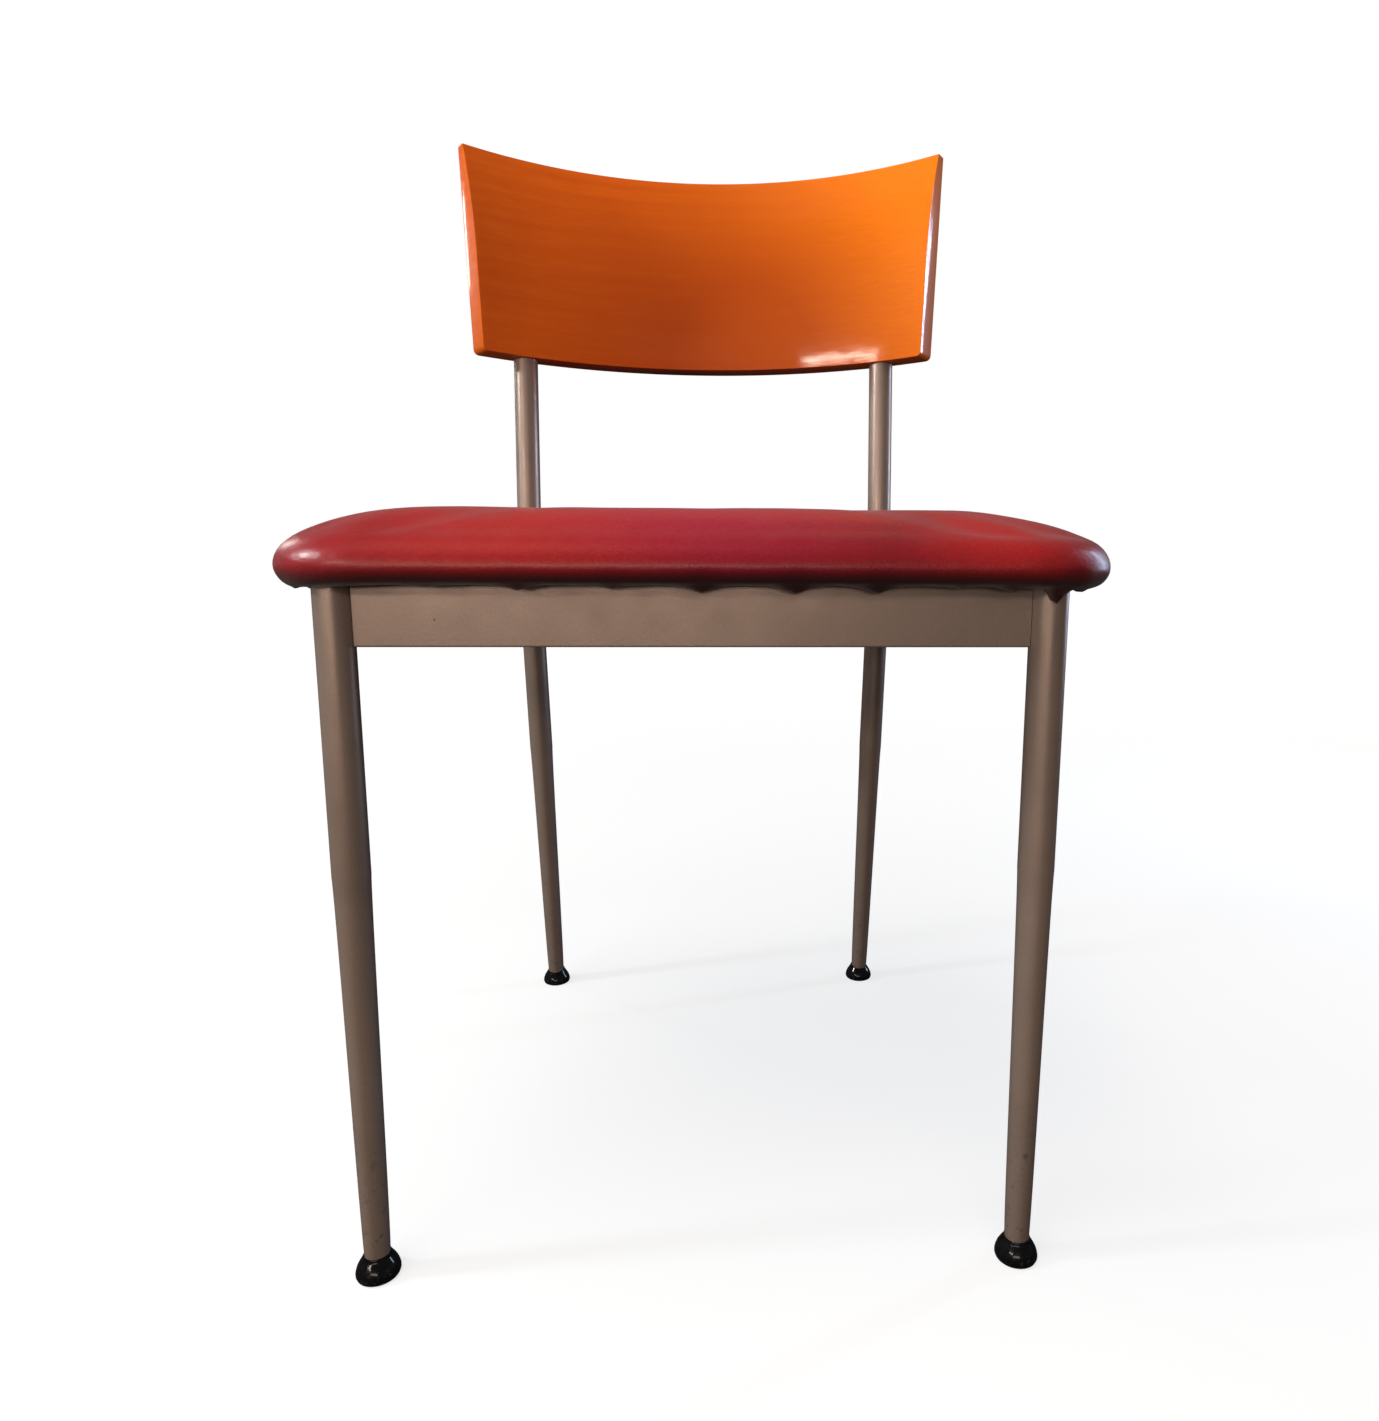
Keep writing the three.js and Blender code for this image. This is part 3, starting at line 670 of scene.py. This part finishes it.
def makeGlide(name, foot):
    rings = [(radius * mm, height * mm) for radius, height in glide["rings"]]
    piece = growRings(rings, glide["sides"], foot)
    finishPiece(piece, f"{name}_foot", glidePlastic, [f"{name}_glide"], 50)


for name, side in (("left", -1), ("right", 1)):
    makeGlide(f"{name}_front", (side * legs["frontFoot"][0], legs["frontFoot"][1]))
    makeGlide(f"{name}_rear", (side * legs["rearFoot"][0], legs["rearFoot"][1]))
print("glides made")


# backrest: a bent board, thinner towards its top edge
back = {
    "bottom": 600 * mm,
    "middleY": 174.55 * mm,        # of the board's middle layer, over the uprights
    "uprightAcross": 158.7 * mm,
    "lean": 0.045,
    "radius": 330 * mm,
    "overrun": 0.05,        # how far past each end the board is bent before it is trimmed, in radians
    "height": 166.5 * mm,
    "bottomHalf": 194 * mm,
    "topHalf": 200 * mm,
    "thickness": 22 * mm,
    "topThickness": 9.5 * mm,
    "taperStart": 0.45,
    "cornerRound": 4 * mm,
    "edgeRound": 1.6 * mm,
    "steps": 72,
    "frontRows": 14,
    "cornerCuts": (15, 45, 75),
}


def makeBackrest():
    upward = Vector((0, math.sin(back["lean"]), math.cos(back["lean"])))
    forward = Vector((0, -math.cos(back["lean"]), math.sin(back["lean"])))
    radius, half = back["radius"], back["thickness"] / 2
    centre = Vector((0, back["middleY"], back["bottom"]))
    centre += forward * math.sqrt(radius**2 - back["uprightAcross"] ** 2)
    reach = math.asin(back["topHalf"] / radius) + back["overrun"]
    toStart = Quaternion(upward, -reach)
    profile = [(-half, 0.0), (half, 0.0)]        # ahead of the middle layer, up the board
    for row in range(back["frontRows"] + 1):
        share = row / back["frontRows"]
        rise = back["taperStart"] + (1 - back["taperStart"]) * share
        thickness = back["thickness"] + (back["topThickness"] - back["thickness"]) * share**2
        profile.append((thickness - half, rise * back["height"]))
    profile.append((-half, back["height"]))
    bpy.ops.mesh.primitive_circle_add(vertices=len(profile), radius=0.1)
    board = bpy.context.object
    for corner, (ahead, rise) in zip(board.data.vertices, profile):
        corner.co = centre + toStart @ (forward * (ahead - radius) + upward * rise)
    startEditing(board, action="SELECT")
    bpy.ops.mesh.spin(steps=back["steps"], angle=-2 * reach, center=centre, axis=upward)
    for side in (-1, 1):
        trimEnd(side, centre, upward, forward)
    stopEditing()
    makeActive(board)
    startEditing(board, action="SELECT")
    bpy.ops.mesh.remove_doubles(threshold=0.00002)
    bpy.ops.mesh.normals_make_consistent(inside=False)
    stopEditing()
    useModifier(
        board, "BEVEL", width=back["edgeRound"], segments=4, limit_method="ANGLE",
        angle_limit=math.radians(40), harden_normals=False,
    )
    return finishPiece(board, "back_board", backWood, ["backrest"], 32)


def trimEnd(side, centre, upward, forward):        # cuts one end and rounds its lower corner
    radius = back["radius"]

    def edgePoint(halfWidth, rise):
        drop = math.sqrt(radius**2 - halfWidth**2)
        return centre + Vector((side * halfWidth, 0, 0)) - forward * drop + upward * rise

    low, high = edgePoint(back["bottomHalf"], 0), edgePoint(back["topHalf"], back["height"])
    along = (high - low).normalized()
    towardsCentre = (centre + upward * (low - centre).dot(upward) - low).normalized()
    outward = along.cross(towardsCentre).normalized()
    if outward.x * side < 0:
        outward.negate()
    cutAt(low, outward)
    rounding = back["cornerRound"]
    middle = low - outward * rounding + upward * rounding
    for degrees in back["cornerCuts"]:
        turn = math.radians(degrees)
        facing = (outward * math.cos(turn) - upward * math.sin(turn)).normalized()
        cutAt(middle + facing * rounding, facing)


def cutAt(place, facing):        # removes what lies beyond a plane and closes the cut
    bpy.ops.mesh.select_all(action="SELECT")
    bpy.ops.mesh.bisect(plane_co=place, plane_no=facing, use_fill=True, clear_outer=True)


makeBackrest()
print("backrest made")


# seat pad: leatherette over foam, wrapped round the board and stapled beneath it
seat = {
    "frontHalf": 237.5 * mm,        # half widths before the corners are rounded
    "backHalf": 204.5 * mm,
    "front": -233.7 * mm,
    "back": 155.4 * mm,
    "corner": 62 * mm,
    "low": 411.6 * mm,
    "rim": 420.6 * mm,
    "crown": 453.0 * mm,
    "offCentre": 1.4 * mm,        # the pad's edge sits this far to the right, its middle doesn't
    "shoulder": 82 * mm,
    "underRound": 15 * mm,
    "hem": 25 * mm,
    "skin": 1.2 * mm,
    "boardGap": 15.7 * mm,        # inside the outline, where the board's pocket starts
    "boardTop": 425.7 * mm,
    "pocketRings": 7,        # the last rings, which line the board's pocket
    "arcSteps": 48,
    "columns": 540,
    "simColumns": 180,
    "simVoxel": 5 * mm,
    "simSmaller": 2.2 * mm,
    "simCap": 5 * mm,
    "simPressure": 4.0,
    "simFrames": 20,
    "puckerPitch": 46 * mm,
    "puckerStray": 0.18,        # of a pitch
    "puckerDrop": (1.2, 3.4),        # millimetres
    # along the front: metres across, and the millimetres that the hem hangs down there
    "frontPuckers": [
        (-0.138, 1.0), (-0.0909, 2.4), (-0.044, 1.6), (0.0026, 3.6), (0.0514, 4.0),
        (0.0965, 3.8), (0.137, 1.2), (0.166, 2.4), (0.198, 8.0),
    ],
    "puckerWidth": 20 * mm,
    "deepDrop": 6 * mm,        # a hanging point deeper than this is narrower
    "deepWidth": 14 * mm,
    "pinchWidth": 7 * mm,
    "pinch": 0.12,        # how far the edge is drawn in for each unit of drop
    "frontSag": 1.8 * mm,        # the foam's overhanging edge droops this far under the board
    "sideSag": 3.4 * mm,
    "sideFrom": (150 * mm, 210 * mm),        # across, where the side's sag takes over
    "sagFull": 8 * mm,
    "sagFade": (10 * mm, 16 * mm),
    "lift": 0.8 * mm,        # of the hem between two hanging points
    "noLift": 3 * mm,        # the drop from which the hem isn't lifted
    "crinkle": 0.5 * mm,
    "lopsided": 0.7 * mm,        # the left shoulder stands fuller than the right
    "lopsidedFrom": (110 * mm, 190 * mm),
    # by inset in millimetres: where each of these starts, is full, begins to fade and has gone
    "bulgeBand": (3, 20, 45, 80),
    "hangBand": (7, 13, 17, 22),
    "liftBand": (4, 9, 11, 15),
    "pinchBand": (-1, 2, 6, 11),
    "crinkleBand": (4, 10, 17, 23),
    "unevenness": 0.5 * mm,
    "unevenFrom": (0, 30 * mm),        # insets, like the four below: where it starts and is full
    "offCentreUnder": (1 * mm, 14 * mm),
    "offCentreTop": (0, 70 * mm),
    "puffedFrom": (4 * mm, 26 * mm),
    "easedFrom": (18 * mm, 50 * mm),
    "seed": 11,
}
padMiddle = Vector((0, (seat["front"] + seat["back"]) / 2, 0))


def outlineArcs():        # centre and start and end angle of each rounded corner
    corner = seat["corner"]
    slant = math.atan2(seat["frontHalf"] - seat["backHalf"], seat["back"] - seat["front"])
    frontSlip = corner * (1 / math.cos(slant) + math.tan(slant))
    backSlip = corner * (1 / math.cos(slant) - math.tan(slant))
    frontX, backX = seat["frontHalf"] - frontSlip, seat["backHalf"] - backSlip
    frontY, backY = seat["front"] + corner, seat["back"] - corner
    quarter = math.pi / 2
    return [
        ((frontX, frontY), -quarter, slant),
        ((backX, backY), slant, quarter),
        ((-backX, backY), quarter, 2 * quarter - slant),
        ((-frontX, frontY), 2 * quarter - slant, 3 * quarter),
    ]


def padOutline(count):        # evenly spaced (place, outward, distance along), from front right
    fine = []
    corner = seat["corner"]
    for (x, y), start, end in outlineArcs():
        for step in range(seat["arcSteps"] + 1):
            turn = start + (end - start) * step / seat["arcSteps"]
            outward = Vector((math.cos(turn), math.sin(turn), 0))
            fine.append((Vector((x, y, 0)) + outward * corner, outward))
    fine.append(fine[0])
    lengths = [0.0]
    for before, after in zip(fine, fine[1:]):
        lengths.append(lengths[-1] + (after[0] - before[0]).length)
    outline = []
    segment = 0
    for index in range(count):
        target = lengths[-1] * index / count
        while lengths[segment + 1] < target:
            segment += 1
        share = (target - lengths[segment]) / max(lengths[segment + 1] - lengths[segment], 1e-9)
        place = fine[segment][0].lerp(fine[segment + 1][0], share)
        outward = fine[segment][1].lerp(fine[segment + 1][1], share).normalized()
        outline.append((place, outward, target))
    return outline, lengths[-1]


innerCorners = [Vector((x, y, 0)) for (x, y), start, end in outlineArcs()]


def insetOf(place):        # how far a place lies inside the pad's outline
    nearest, inside = 1e9, True
    for start, end in zip(innerCorners, innerCorners[1:] + innerCorners[:1]):
        edge, toPlace = end - start, place - start
        toPlace.z = 0
        if edge.x * toPlace.y - edge.y * toPlace.x < 0:
            inside = False
        share = min(max(toPlace.dot(edge) / edge.length_squared, 0), 1)
        nearest = min(nearest, (toPlace - edge * share).length)
    return seat["corner"] + (nearest if inside else -nearest)


def crownHeight(inset, crown):
    share = 1 - min(max(inset, 0) / seat["shoulder"], 1)
    return seat["rim"] + (crown - seat["rim"]) * math.sqrt(max(1 - share**2, 0))


def padRings(withPocket):        # each ring: how it is drawn in, by how much, and its height
    halfDepth = (seat["back"] - seat["front"]) / 2
    shoulderShare = seat["shoulder"] / halfDepth
    rings = [("share", share, None) for share in (0.02, 0.1, 0.2, 0.3, 0.4, 0.5)]
    steps = 22
    for step in range(steps + 1):
        turn = math.pi / 2 * (1 - step / steps)
        rings.append(("share", 1 - shoulderShare * (1 - math.cos(turn)), None))
    underSteps = 10
    for step in range(1, underSteps + 1):
        turn = math.pi / 2 * step / underSteps
        inset = seat["underRound"] * (1 - math.cos(turn))
        rings.append(("inset", inset, seat["rim"] - (seat["rim"] - seat["low"]) * math.sin(turn)))
    hem, low = seat["hem"], seat["low"]
    if not withPocket:
        rings += [("inset", inset, low) for inset in (hem, hem * 2)]
        rings += [("share", share, low) for share in (0.4, 0.2, 0.02)]
        return rings
    rings += [("inset", inset * mm, low) for inset in (16.5, 18, 19.5, 21, 22.5, 24)]
    rings += [("inset", hem, low), ("inset", hem, low + seat["skin"])]
    rings += [("inset", inset * mm, low + seat["skin"]) for inset in (22, 19)]
    pocket = seat["boardGap"]
    rings += [("inset", pocket, low + seat["skin"]), ("inset", pocket, seat["boardTop"])]
    rings += [("inset", 30 * mm, seat["boardTop"]), ("inset", 55 * mm, seat["boardTop"])]
    rings += [("share", share, seat["boardTop"]) for share in (0.5, 0.3, 0.02)]
    return rings


def makePadForm(columns, rings, crown, smaller=0.0):
    outline, perimeter = padOutline(columns)
    layout = []        # the column, ring and inset of each corner
    step = 0.01        # the rings stand this far apart until they are put in place
    piece = growRings([(1.0, index * step) for index in range(len(rings))], columns)
    for corner in piece.data.vertices:
        at = piece.matrix_world @ corner.co
        ring = round(at.z / step)
        column = round(math.atan2(at.y, at.x) / (2 * math.pi) * columns) % columns
        kind, amount, height = rings[ring]
        edge, outward, along = outline[column]
        if kind == "share":
            place = padMiddle.lerp(edge, amount)
        else:
            place = edge - outward * amount
        inset = insetOf(place)
        place.z = crownHeight(inset, crown) if height is None else height
        settled = smoothStep(inset, *seat["offCentreUnder" if height else "offCentreTop"])
        place.x += seat["offCentre"] * (1 - settled)
        if smaller and inset < seat["shoulder"]:
            place -= outward * smaller * (1 - inset / seat["shoulder"])
        corner.co = place
        layout.append((column, ring, inset))
    piece.matrix_world.identity()
    return piece, layout


def swellPad():        # the foam pushes the cover out: a cloth, inflated and held at its hem
    crown = seat["crown"] - seat["simSmaller"]
    form = makePadForm(seat["simColumns"], padRings(False), crown, seat["simSmaller"] * 0.5)[0]
    form.data.remesh_voxel_size = seat["simVoxel"]
    makeActive(form)
    bpy.ops.object.voxel_remesh()
    before = [corner.co.copy() for corner in form.data.vertices]
    held = form.vertex_groups.new(name="held")
    grip = seat["low"] + 3 * mm
    held.add([corner.index for corner in form.data.vertices if corner.co.z < grip], 1.0, "REPLACE")
    cloth = form.modifiers.new("Cloth", "CLOTH")
    cloth.settings.quality = 6
    cloth.settings.mass = 0.25
    cloth.settings.tension_stiffness = 20
    cloth.settings.compression_stiffness = 20
    cloth.settings.bending_stiffness = 2
    cloth.settings.use_pressure = True
    cloth.settings.uniform_pressure_force = seat["simPressure"]
    cloth.settings.effector_weights.gravity = 0
    cloth.settings.vertex_group_mass = "held"
    cloth.point_cache.frame_start = 1
    cloth.point_cache.frame_end = seat["simFrames"]
    for moment in range(1, seat["simFrames"] + 1):
        scene.frame_set(moment)
    makeActive(form)
    bpy.ops.object.modifier_apply(modifier="Cloth")
    scene.frame_set(1)
    most = 0
    for corner, start in zip(form.data.vertices, before):
        moved = corner.co - start
        most = max(most, moved.length)
        if moved.length > seat["simCap"]:
            corner.co = start + moved * (seat["simCap"] / moved.length)
    useModifier(form, "SMOOTH", factor=0.4, iterations=3)
    useModifier(form, "SUBSURF", levels=1, render_levels=1)
    print("pad swelled: the furthest point moved", round(most * 1000, 1), "mm before the cap")
    return form


def puckerPlaces(outline, perimeter):        # distance along the outline and drop of each
    chance = random.Random(seat["seed"])
    onFront = [entry for entry in outline if entry[0].y < seat["front"] + 8 * mm]
    places = []
    for across, drop in seat["frontPuckers"]:
        nearest = min(onFront, key=lambda entry: abs(entry[0].x - across))
        places.append((nearest[2], drop * mm))
    count = round(perimeter / seat["puckerPitch"])
    for index in range(count):
        stray = chance.uniform(-seat["puckerStray"], seat["puckerStray"])
        along = perimeter * (index + stray) / count % perimeter
        drop = chance.uniform(*seat["puckerDrop"]) * mm
        nearest = min(outline, key=lambda entry: abs(entry[2] - along))
        if nearest[0].y > seat["front"] + 14 * mm:
            places.append((along, drop))
    return places


def smoothStep(value, low, high):
    share = min(max((value - low) / (high - low), 0), 1)
    return share * share * (3 - 2 * share)


def within(inset, band):        # rises to one inside the band and falls again
    start, full, fade, gone = [edge * mm for edge in band]
    return smoothStep(inset, start, full) * (1 - smoothStep(inset, fade, gone))


def hemPull(outline, perimeter):        # how far each column's hem hangs down and is drawn in
    places = puckerPlaces(outline, perimeter)
    drops, pinches = [], []
    for edge, outward, along in outline:
        drop = pinch = 0.0
        for other, depth in places:
            apart = abs((along - other + perimeter / 2) % perimeter - perimeter / 2)
            width = seat["deepWidth"] if depth > seat["deepDrop"] else seat["puckerWidth"]
            drop = max(drop, depth * max(1 - apart / width, 0) ** 2)
            pinch = max(pinch, depth * math.exp(-((apart / seat["pinchWidth"]) ** 2)))
        drops.append(drop)
        pinches.append(pinch)
    return drops, pinches


def puckerCover(cover, layout, rings):        # the stapled hem: scallops between hanging points
    outline, perimeter = padOutline(seat["columns"])
    drops, pinches = hemPull(outline, perimeter)
    for corner, (column, ring, inset) in zip(cover.data.vertices, layout):
        kind, amount, height = rings[ring]
        edge, outward, along = outline[column]
        if kind == "share" and height is None:
            uneven = noise.noise(corner.co * 14) + 0.5 * noise.noise(corner.co * 37)
            corner.co.z += seat["unevenness"] * uneven * smoothStep(inset, *seat["unevenFrom"])
            toSide = smoothStep(abs(corner.co.x), *seat["lopsidedFrom"])
            bulge = seat["lopsided"] * toSide * within(inset, seat["bulgeBand"])
            corner.co.z -= math.copysign(bulge, corner.co.x)
            continue
        if kind != "inset" or height > seat["rim"] or ring >= len(rings) - seat["pocketRings"]:
            continue
        corner.co.z -= drops[column] * within(inset, seat["hangBand"])
        atSide = smoothStep(abs(edge.x), *seat["sideFrom"])
        sag = seat["frontSag"] + (seat["sideSag"] - seat["frontSag"]) * atSide
        sagShare = math.sqrt(min(max(inset, 0) / seat["sagFull"], 1))
        corner.co.z -= sag * sagShare * (1 - smoothStep(inset, *seat["sagFade"]))
        lift = seat["lift"] * max(1 - drops[column] / seat["noLift"], 0)
        corner.co.z += lift * within(inset, seat["liftBand"])
        corner.co -= outward * (pinches[column] * seat["pinch"] * within(inset, seat["pinchBand"]))
        crinkle = seat["crinkle"] * noise.noise(Vector((along * 260, inset * 90, 3.0)))
        corner.co.z += crinkle * within(inset, seat["crinkleBand"])


def groupTop(cover, layout, rings, name, most, start, full):        # weights that grow from the edge in
    group = cover.vertex_groups.new(name=name)
    for corner, (column, ring, inset) in zip(cover.data.vertices, layout):
        kind, amount, height = rings[ring]
        if kind == "share" and height is None:
            group.add([corner.index], most * smoothStep(inset, start, full), "REPLACE")


def makeSeatCover():
    rings = padRings(True)
    cover, layout = makePadForm(seat["columns"], rings, seat["crown"])
    swelled = swellPad()
    groupTop(cover, layout, rings, "puffed", 0.85, *seat["puffedFrom"])
    useModifier(
        cover, "SHRINKWRAP", target=swelled, wrap_method="NEAREST_SURFACEPOINT",
        vertex_group="puffed",
    )
    bpy.data.objects.remove(swelled, do_unlink=True)
    useModifier(cover, "SMOOTH", factor=0.5, iterations=10, vertex_group="puffed")
    groupTop(cover, layout, rings, "eased", 1.0, *seat["easedFrom"])
    useModifier(cover, "SMOOTH", factor=0.5, iterations=90, vertex_group="eased")
    cover.vertex_groups.clear()
    print("pad's crown at", round(max(corner.co.z for corner in cover.data.vertices) * 1000, 1), "mm")
    puckerCover(cover, layout, rings)
    finishPiece(cover, "seat_pad", seatLeather, ["seat_cover", "seat_foam"], 60)
    return cover


makeSeatCover()
print("seat pad made")


# dust cloth: black non-woven cloth stretched inside the hem, under the board
dustCloth = {
    "inset": 25.6 * mm,
    "height": 412.1 * mm,
    "thickness": 0.5 * mm,
    "columns": 220,
    "shares": (0.97, 0.93, 0.86, 0.78, 0.7, 0.6, 0.5, 0.4, 0.3, 0.2, 0.1, 0.02),
    "ripple": 0.09 * mm,
    "ripples": 45,        # to the metre, roughly
    "holeRadius": 4.6 * mm,
    "holeSides": 20,
}


def makeDustSheet():
    outline, perimeter = padOutline(dustCloth["columns"])
    edge = [place - outward * dustCloth["inset"] for place, outward, along in outline]
    shares = (1.0, *dustCloth["shares"])
    step = 0.01        # the rings stand this far apart until they are put in place
    sheet = growRings([(1.0, index * step) for index in range(len(shares))], len(edge))
    for corner in sheet.data.vertices:
        at = sheet.matrix_world @ corner.co
        column = round(math.atan2(at.y, at.x) / (2 * math.pi) * len(edge)) % len(edge)
        place = padMiddle.lerp(edge[column], shares[round(at.z / step)])
        corner.co = place + Vector((0, 0, dustCloth["height"]))
        corner.co.z += noise.noise(place * dustCloth["ripples"]) * dustCloth["ripple"]
    sheet.matrix_world.identity()
    startEditing(sheet, "FACE")
    pickFaces(sheet, lambda face: len(face.verts) > 4 and face.calc_area() > 0.01)
    bpy.ops.mesh.delete(type="FACE")        # the flat lid left by the first ring
    stopEditing()
    useModifier(sheet, "SOLIDIFY", thickness=dustCloth["thickness"], offset=0)
    for name in ("left_front", "left_rear", "right_front", "right_rear"):
        low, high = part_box(f"{name}_seat_screw")
        middle = (low + high) / 2
        bpy.ops.mesh.primitive_cylinder_add(
            vertices=dustCloth["holeSides"], radius=dustCloth["holeRadius"], depth=0.02,
            location=(middle.x, middle.y, dustCloth["height"]),
        )
        punch = bpy.context.object
        useModifier(sheet, "BOOLEAN", operation="DIFFERENCE", object=punch, solver="EXACT")
        bpy.data.objects.remove(punch, do_unlink=True)
    finishPiece(sheet, "dust_sheet", dustClothWeave, ["bottom_cloth"])
    pairs = zip(edge, edge[1:] + edge[:1])
    area = abs(sum(a.x * b.y - b.x * a.y for a, b in pairs)) / 2


makeDustSheet()


# staples that hold the hem to the board
staple = {
    "crown": 10 * mm,
    "wire": 0.7 * mm,
    "leg": 1.0 * mm,
    "rounding": 0.18 * mm,
    "inset": 20.5 * mm,
    "pitch": 23 * mm,
    "stray": 1 * mm,        # from its inset, either way
    "skew": 0.12,        # radians, either way
    "seed": 5,
    "outlineSteps": 720,
}


def makeStaples():
    wire, skew = staple["wire"], staple["skew"]
    bpy.ops.mesh.primitive_cube_add(size=1, location=(0, 0, 0), scale=(staple["crown"], wire, wire))
    first = bpy.context.object
    bpy.ops.object.transform_apply(location=False, rotation=False, scale=True)
    startEditing(first, "FACE")
    cut = staple["crown"] / 2 - wire
    for side in (-1, 1):        # a cut near each end, whose upper face is drawn up as a leg
        bpy.ops.mesh.select_all(action="SELECT")
        bpy.ops.mesh.bisect(plane_co=(side * cut, 0, 0), plane_no=(1, 0, 0))
    pickFaces(first, lambda face: face.normal.z > 0.9 and abs(face.calc_center_median().x) > cut)
    bpy.ops.mesh.extrude_region_move(TRANSFORM_OT_translate={"value": (0, 0, staple["leg"])})
    stopEditing()
    useModifier(first, "BEVEL", width=staple["rounding"], segments=2)
    outline, perimeter = padOutline(staple["outlineSteps"])
    count = round(perimeter / staple["pitch"])
    copies = []
    chance = random.Random(staple["seed"])
    for index in range(count):
        place, outward, along = outline[round(index * len(outline) / count) % len(outline)]
        copy = first.copy()
        copy.data = first.data.copy()
        scene.collection.objects.link(copy)
        turn = math.atan2(outward.y, outward.x) + math.pi / 2 + chance.uniform(-skew, skew)
        at = place - outward * (staple["inset"] + chance.uniform(-1, 1) * staple["stray"])
        copy.rotation_euler = (0, 0, turn)
        copy.location = (at.x, at.y, seat["low"] - wire / 2)
        copies.append(copy)
    bpy.data.objects.remove(first, do_unlink=True)
    deselectAll()
    for copy in copies:
        copy.select_set(True)
    bpy.context.view_layer.objects.active = copies[0]
    bpy.ops.object.join()
    finishPiece(bpy.context.object, "hem_staples", fastenerZinc)
    print("staples made:", count)


makeStaples()


# the studio
studio = {
    "floorSize": 40.0,
    "floorSeen": (0.27, 0.285, 0.30, 1),
    "floorBounce": (0.035, 0.033, 0.03, 1),
    "glowNear": 0.725,        # the floor's own light, close to the chair and away from it
    "glowFar": 0.975,
    "glowReach": (0.5, 3.0),
    "roomLight": 0.10,
    "roomColour": (0.95, 0.97, 1, 1),
    "lights": {        # place, aim, width, height, power, colour
        "keyLeft": ((-0.95, -0.85, 3.3), (0, 0, 0.55), 2.0, 2.0, 84, (1.0, 0.88, 0.74)),
        "frontLamp": ((-1.52, -1.93, 0.89), (0, 0, 0.5), 0.90, 0.07, 8, (1.0, 0.84, 0.70)),
        "frontFill": ((-0.35, -2.4, 0.58), (0, -0.1, 0.40), 1.4, 0.20, 6, (1.0, 0.80, 0.68)),
        "softFill": ((0.2, -2.4, 1.02), (0, -0.1, 0.40), 1.2, 0.30, 13, (1.0, 0.80, 0.68)),
        "leftPanel": ((-1.85, -0.38, 1.30), (0, -0.1, 0.45), 0.18, 0.18, 15, (0.93, 0.97, 1.0)),
        "sweepLamp": ((-2.3, -0.55, 0.30), (0, 0, 0.1), 0.25, 0.20, 14, (0.95, 0.97, 1.0)),
        "leftRim": ((-1.5, 1.1, 1.12), (0, 0, 0.45), 0.15, 0.3, 2.5, (1.0, 0.97, 0.93)),
        "rightWindow": ((1.7, 0.6, 0.8), (0, 0, 0.45), 0.12, 1.0, 10, (0.60, 0.73, 1.0)),
    },
    "unmirrored": ["keyLeft", "softFill", "sweepLamp"],        # they light the chair but leave no glints
}


def addStudio():
    bpy.ops.mesh.primitive_grid_add(size=studio["floorSize"], x_subdivisions=8, y_subdivisions=8)
    floor = bpy.context.object
    floor.name = "studio_floor"
    material, tree, shader, place = newFinish("studioFloor")
    seen = tree.nodes.new("ShaderNodeLightPath").outputs["Is Camera Ray"]
    colour = blendColours(tree, seen, studio["floorBounce"], studio["floorSeen"])
    away = addNode(tree, "ShaderNodeVectorMath", {0: place}, operation="LENGTH").outputs["Value"]
    glow = spread(tree, away, *studio["glowReach"], studio["glowNear"], studio["glowFar"])
    glow = calculate(tree, "MULTIPLY", seen, glow)
    connect(tree, shader, Base_Color=colour, Roughness=0.9, Specular_IOR_Level=0.0)
    connect(tree, shader, Emission_Color=(1, 1, 1, 1), Emission_Strength=glow)
    floor.data.materials.append(material)
    for name, (at, aim, width, height, power, colour) in studio["lights"].items():
        bpy.ops.object.light_add(type="AREA", location=at)
        light = bpy.context.object
        light.name = name
        light.rotation_euler = (Vector(aim) - Vector(at)).to_track_quat("-Z", "Y").to_euler()
        light.data.shape = "RECTANGLE"
        light.data.size, light.data.size_y = width, height
        light.data.energy, light.data.color = power, colour
        light.visible_glossy = name not in studio["unmirrored"]
    world = bpy.data.worlds.new("paleRoom")
    world.use_nodes = True
    scene.world = world
    tree = world.node_tree
    tree.nodes.clear()
    seen = tree.nodes.new("ShaderNodeLightPath").outputs["Is Camera Ray"]
    roomInputs = {"Color": studio["roomColour"], "Strength": studio["roomLight"]}
    room = addNode(tree, "ShaderNodeBackground", roomInputs)
    plain = addNode(tree, "ShaderNodeBackground", {"Color": (1, 1, 1, 1), "Strength": 1.0})
    mix = addNode(tree, "ShaderNodeMixShader", {0: seen, 1: room.outputs[0], 2: plain.outputs[0]})
    addNode(tree, "ShaderNodeOutputWorld", {"Surface": mix.outputs[0]})
    scene.view_settings.view_transform = "Standard"


addCamera()
addStudio()
print("studio ready")
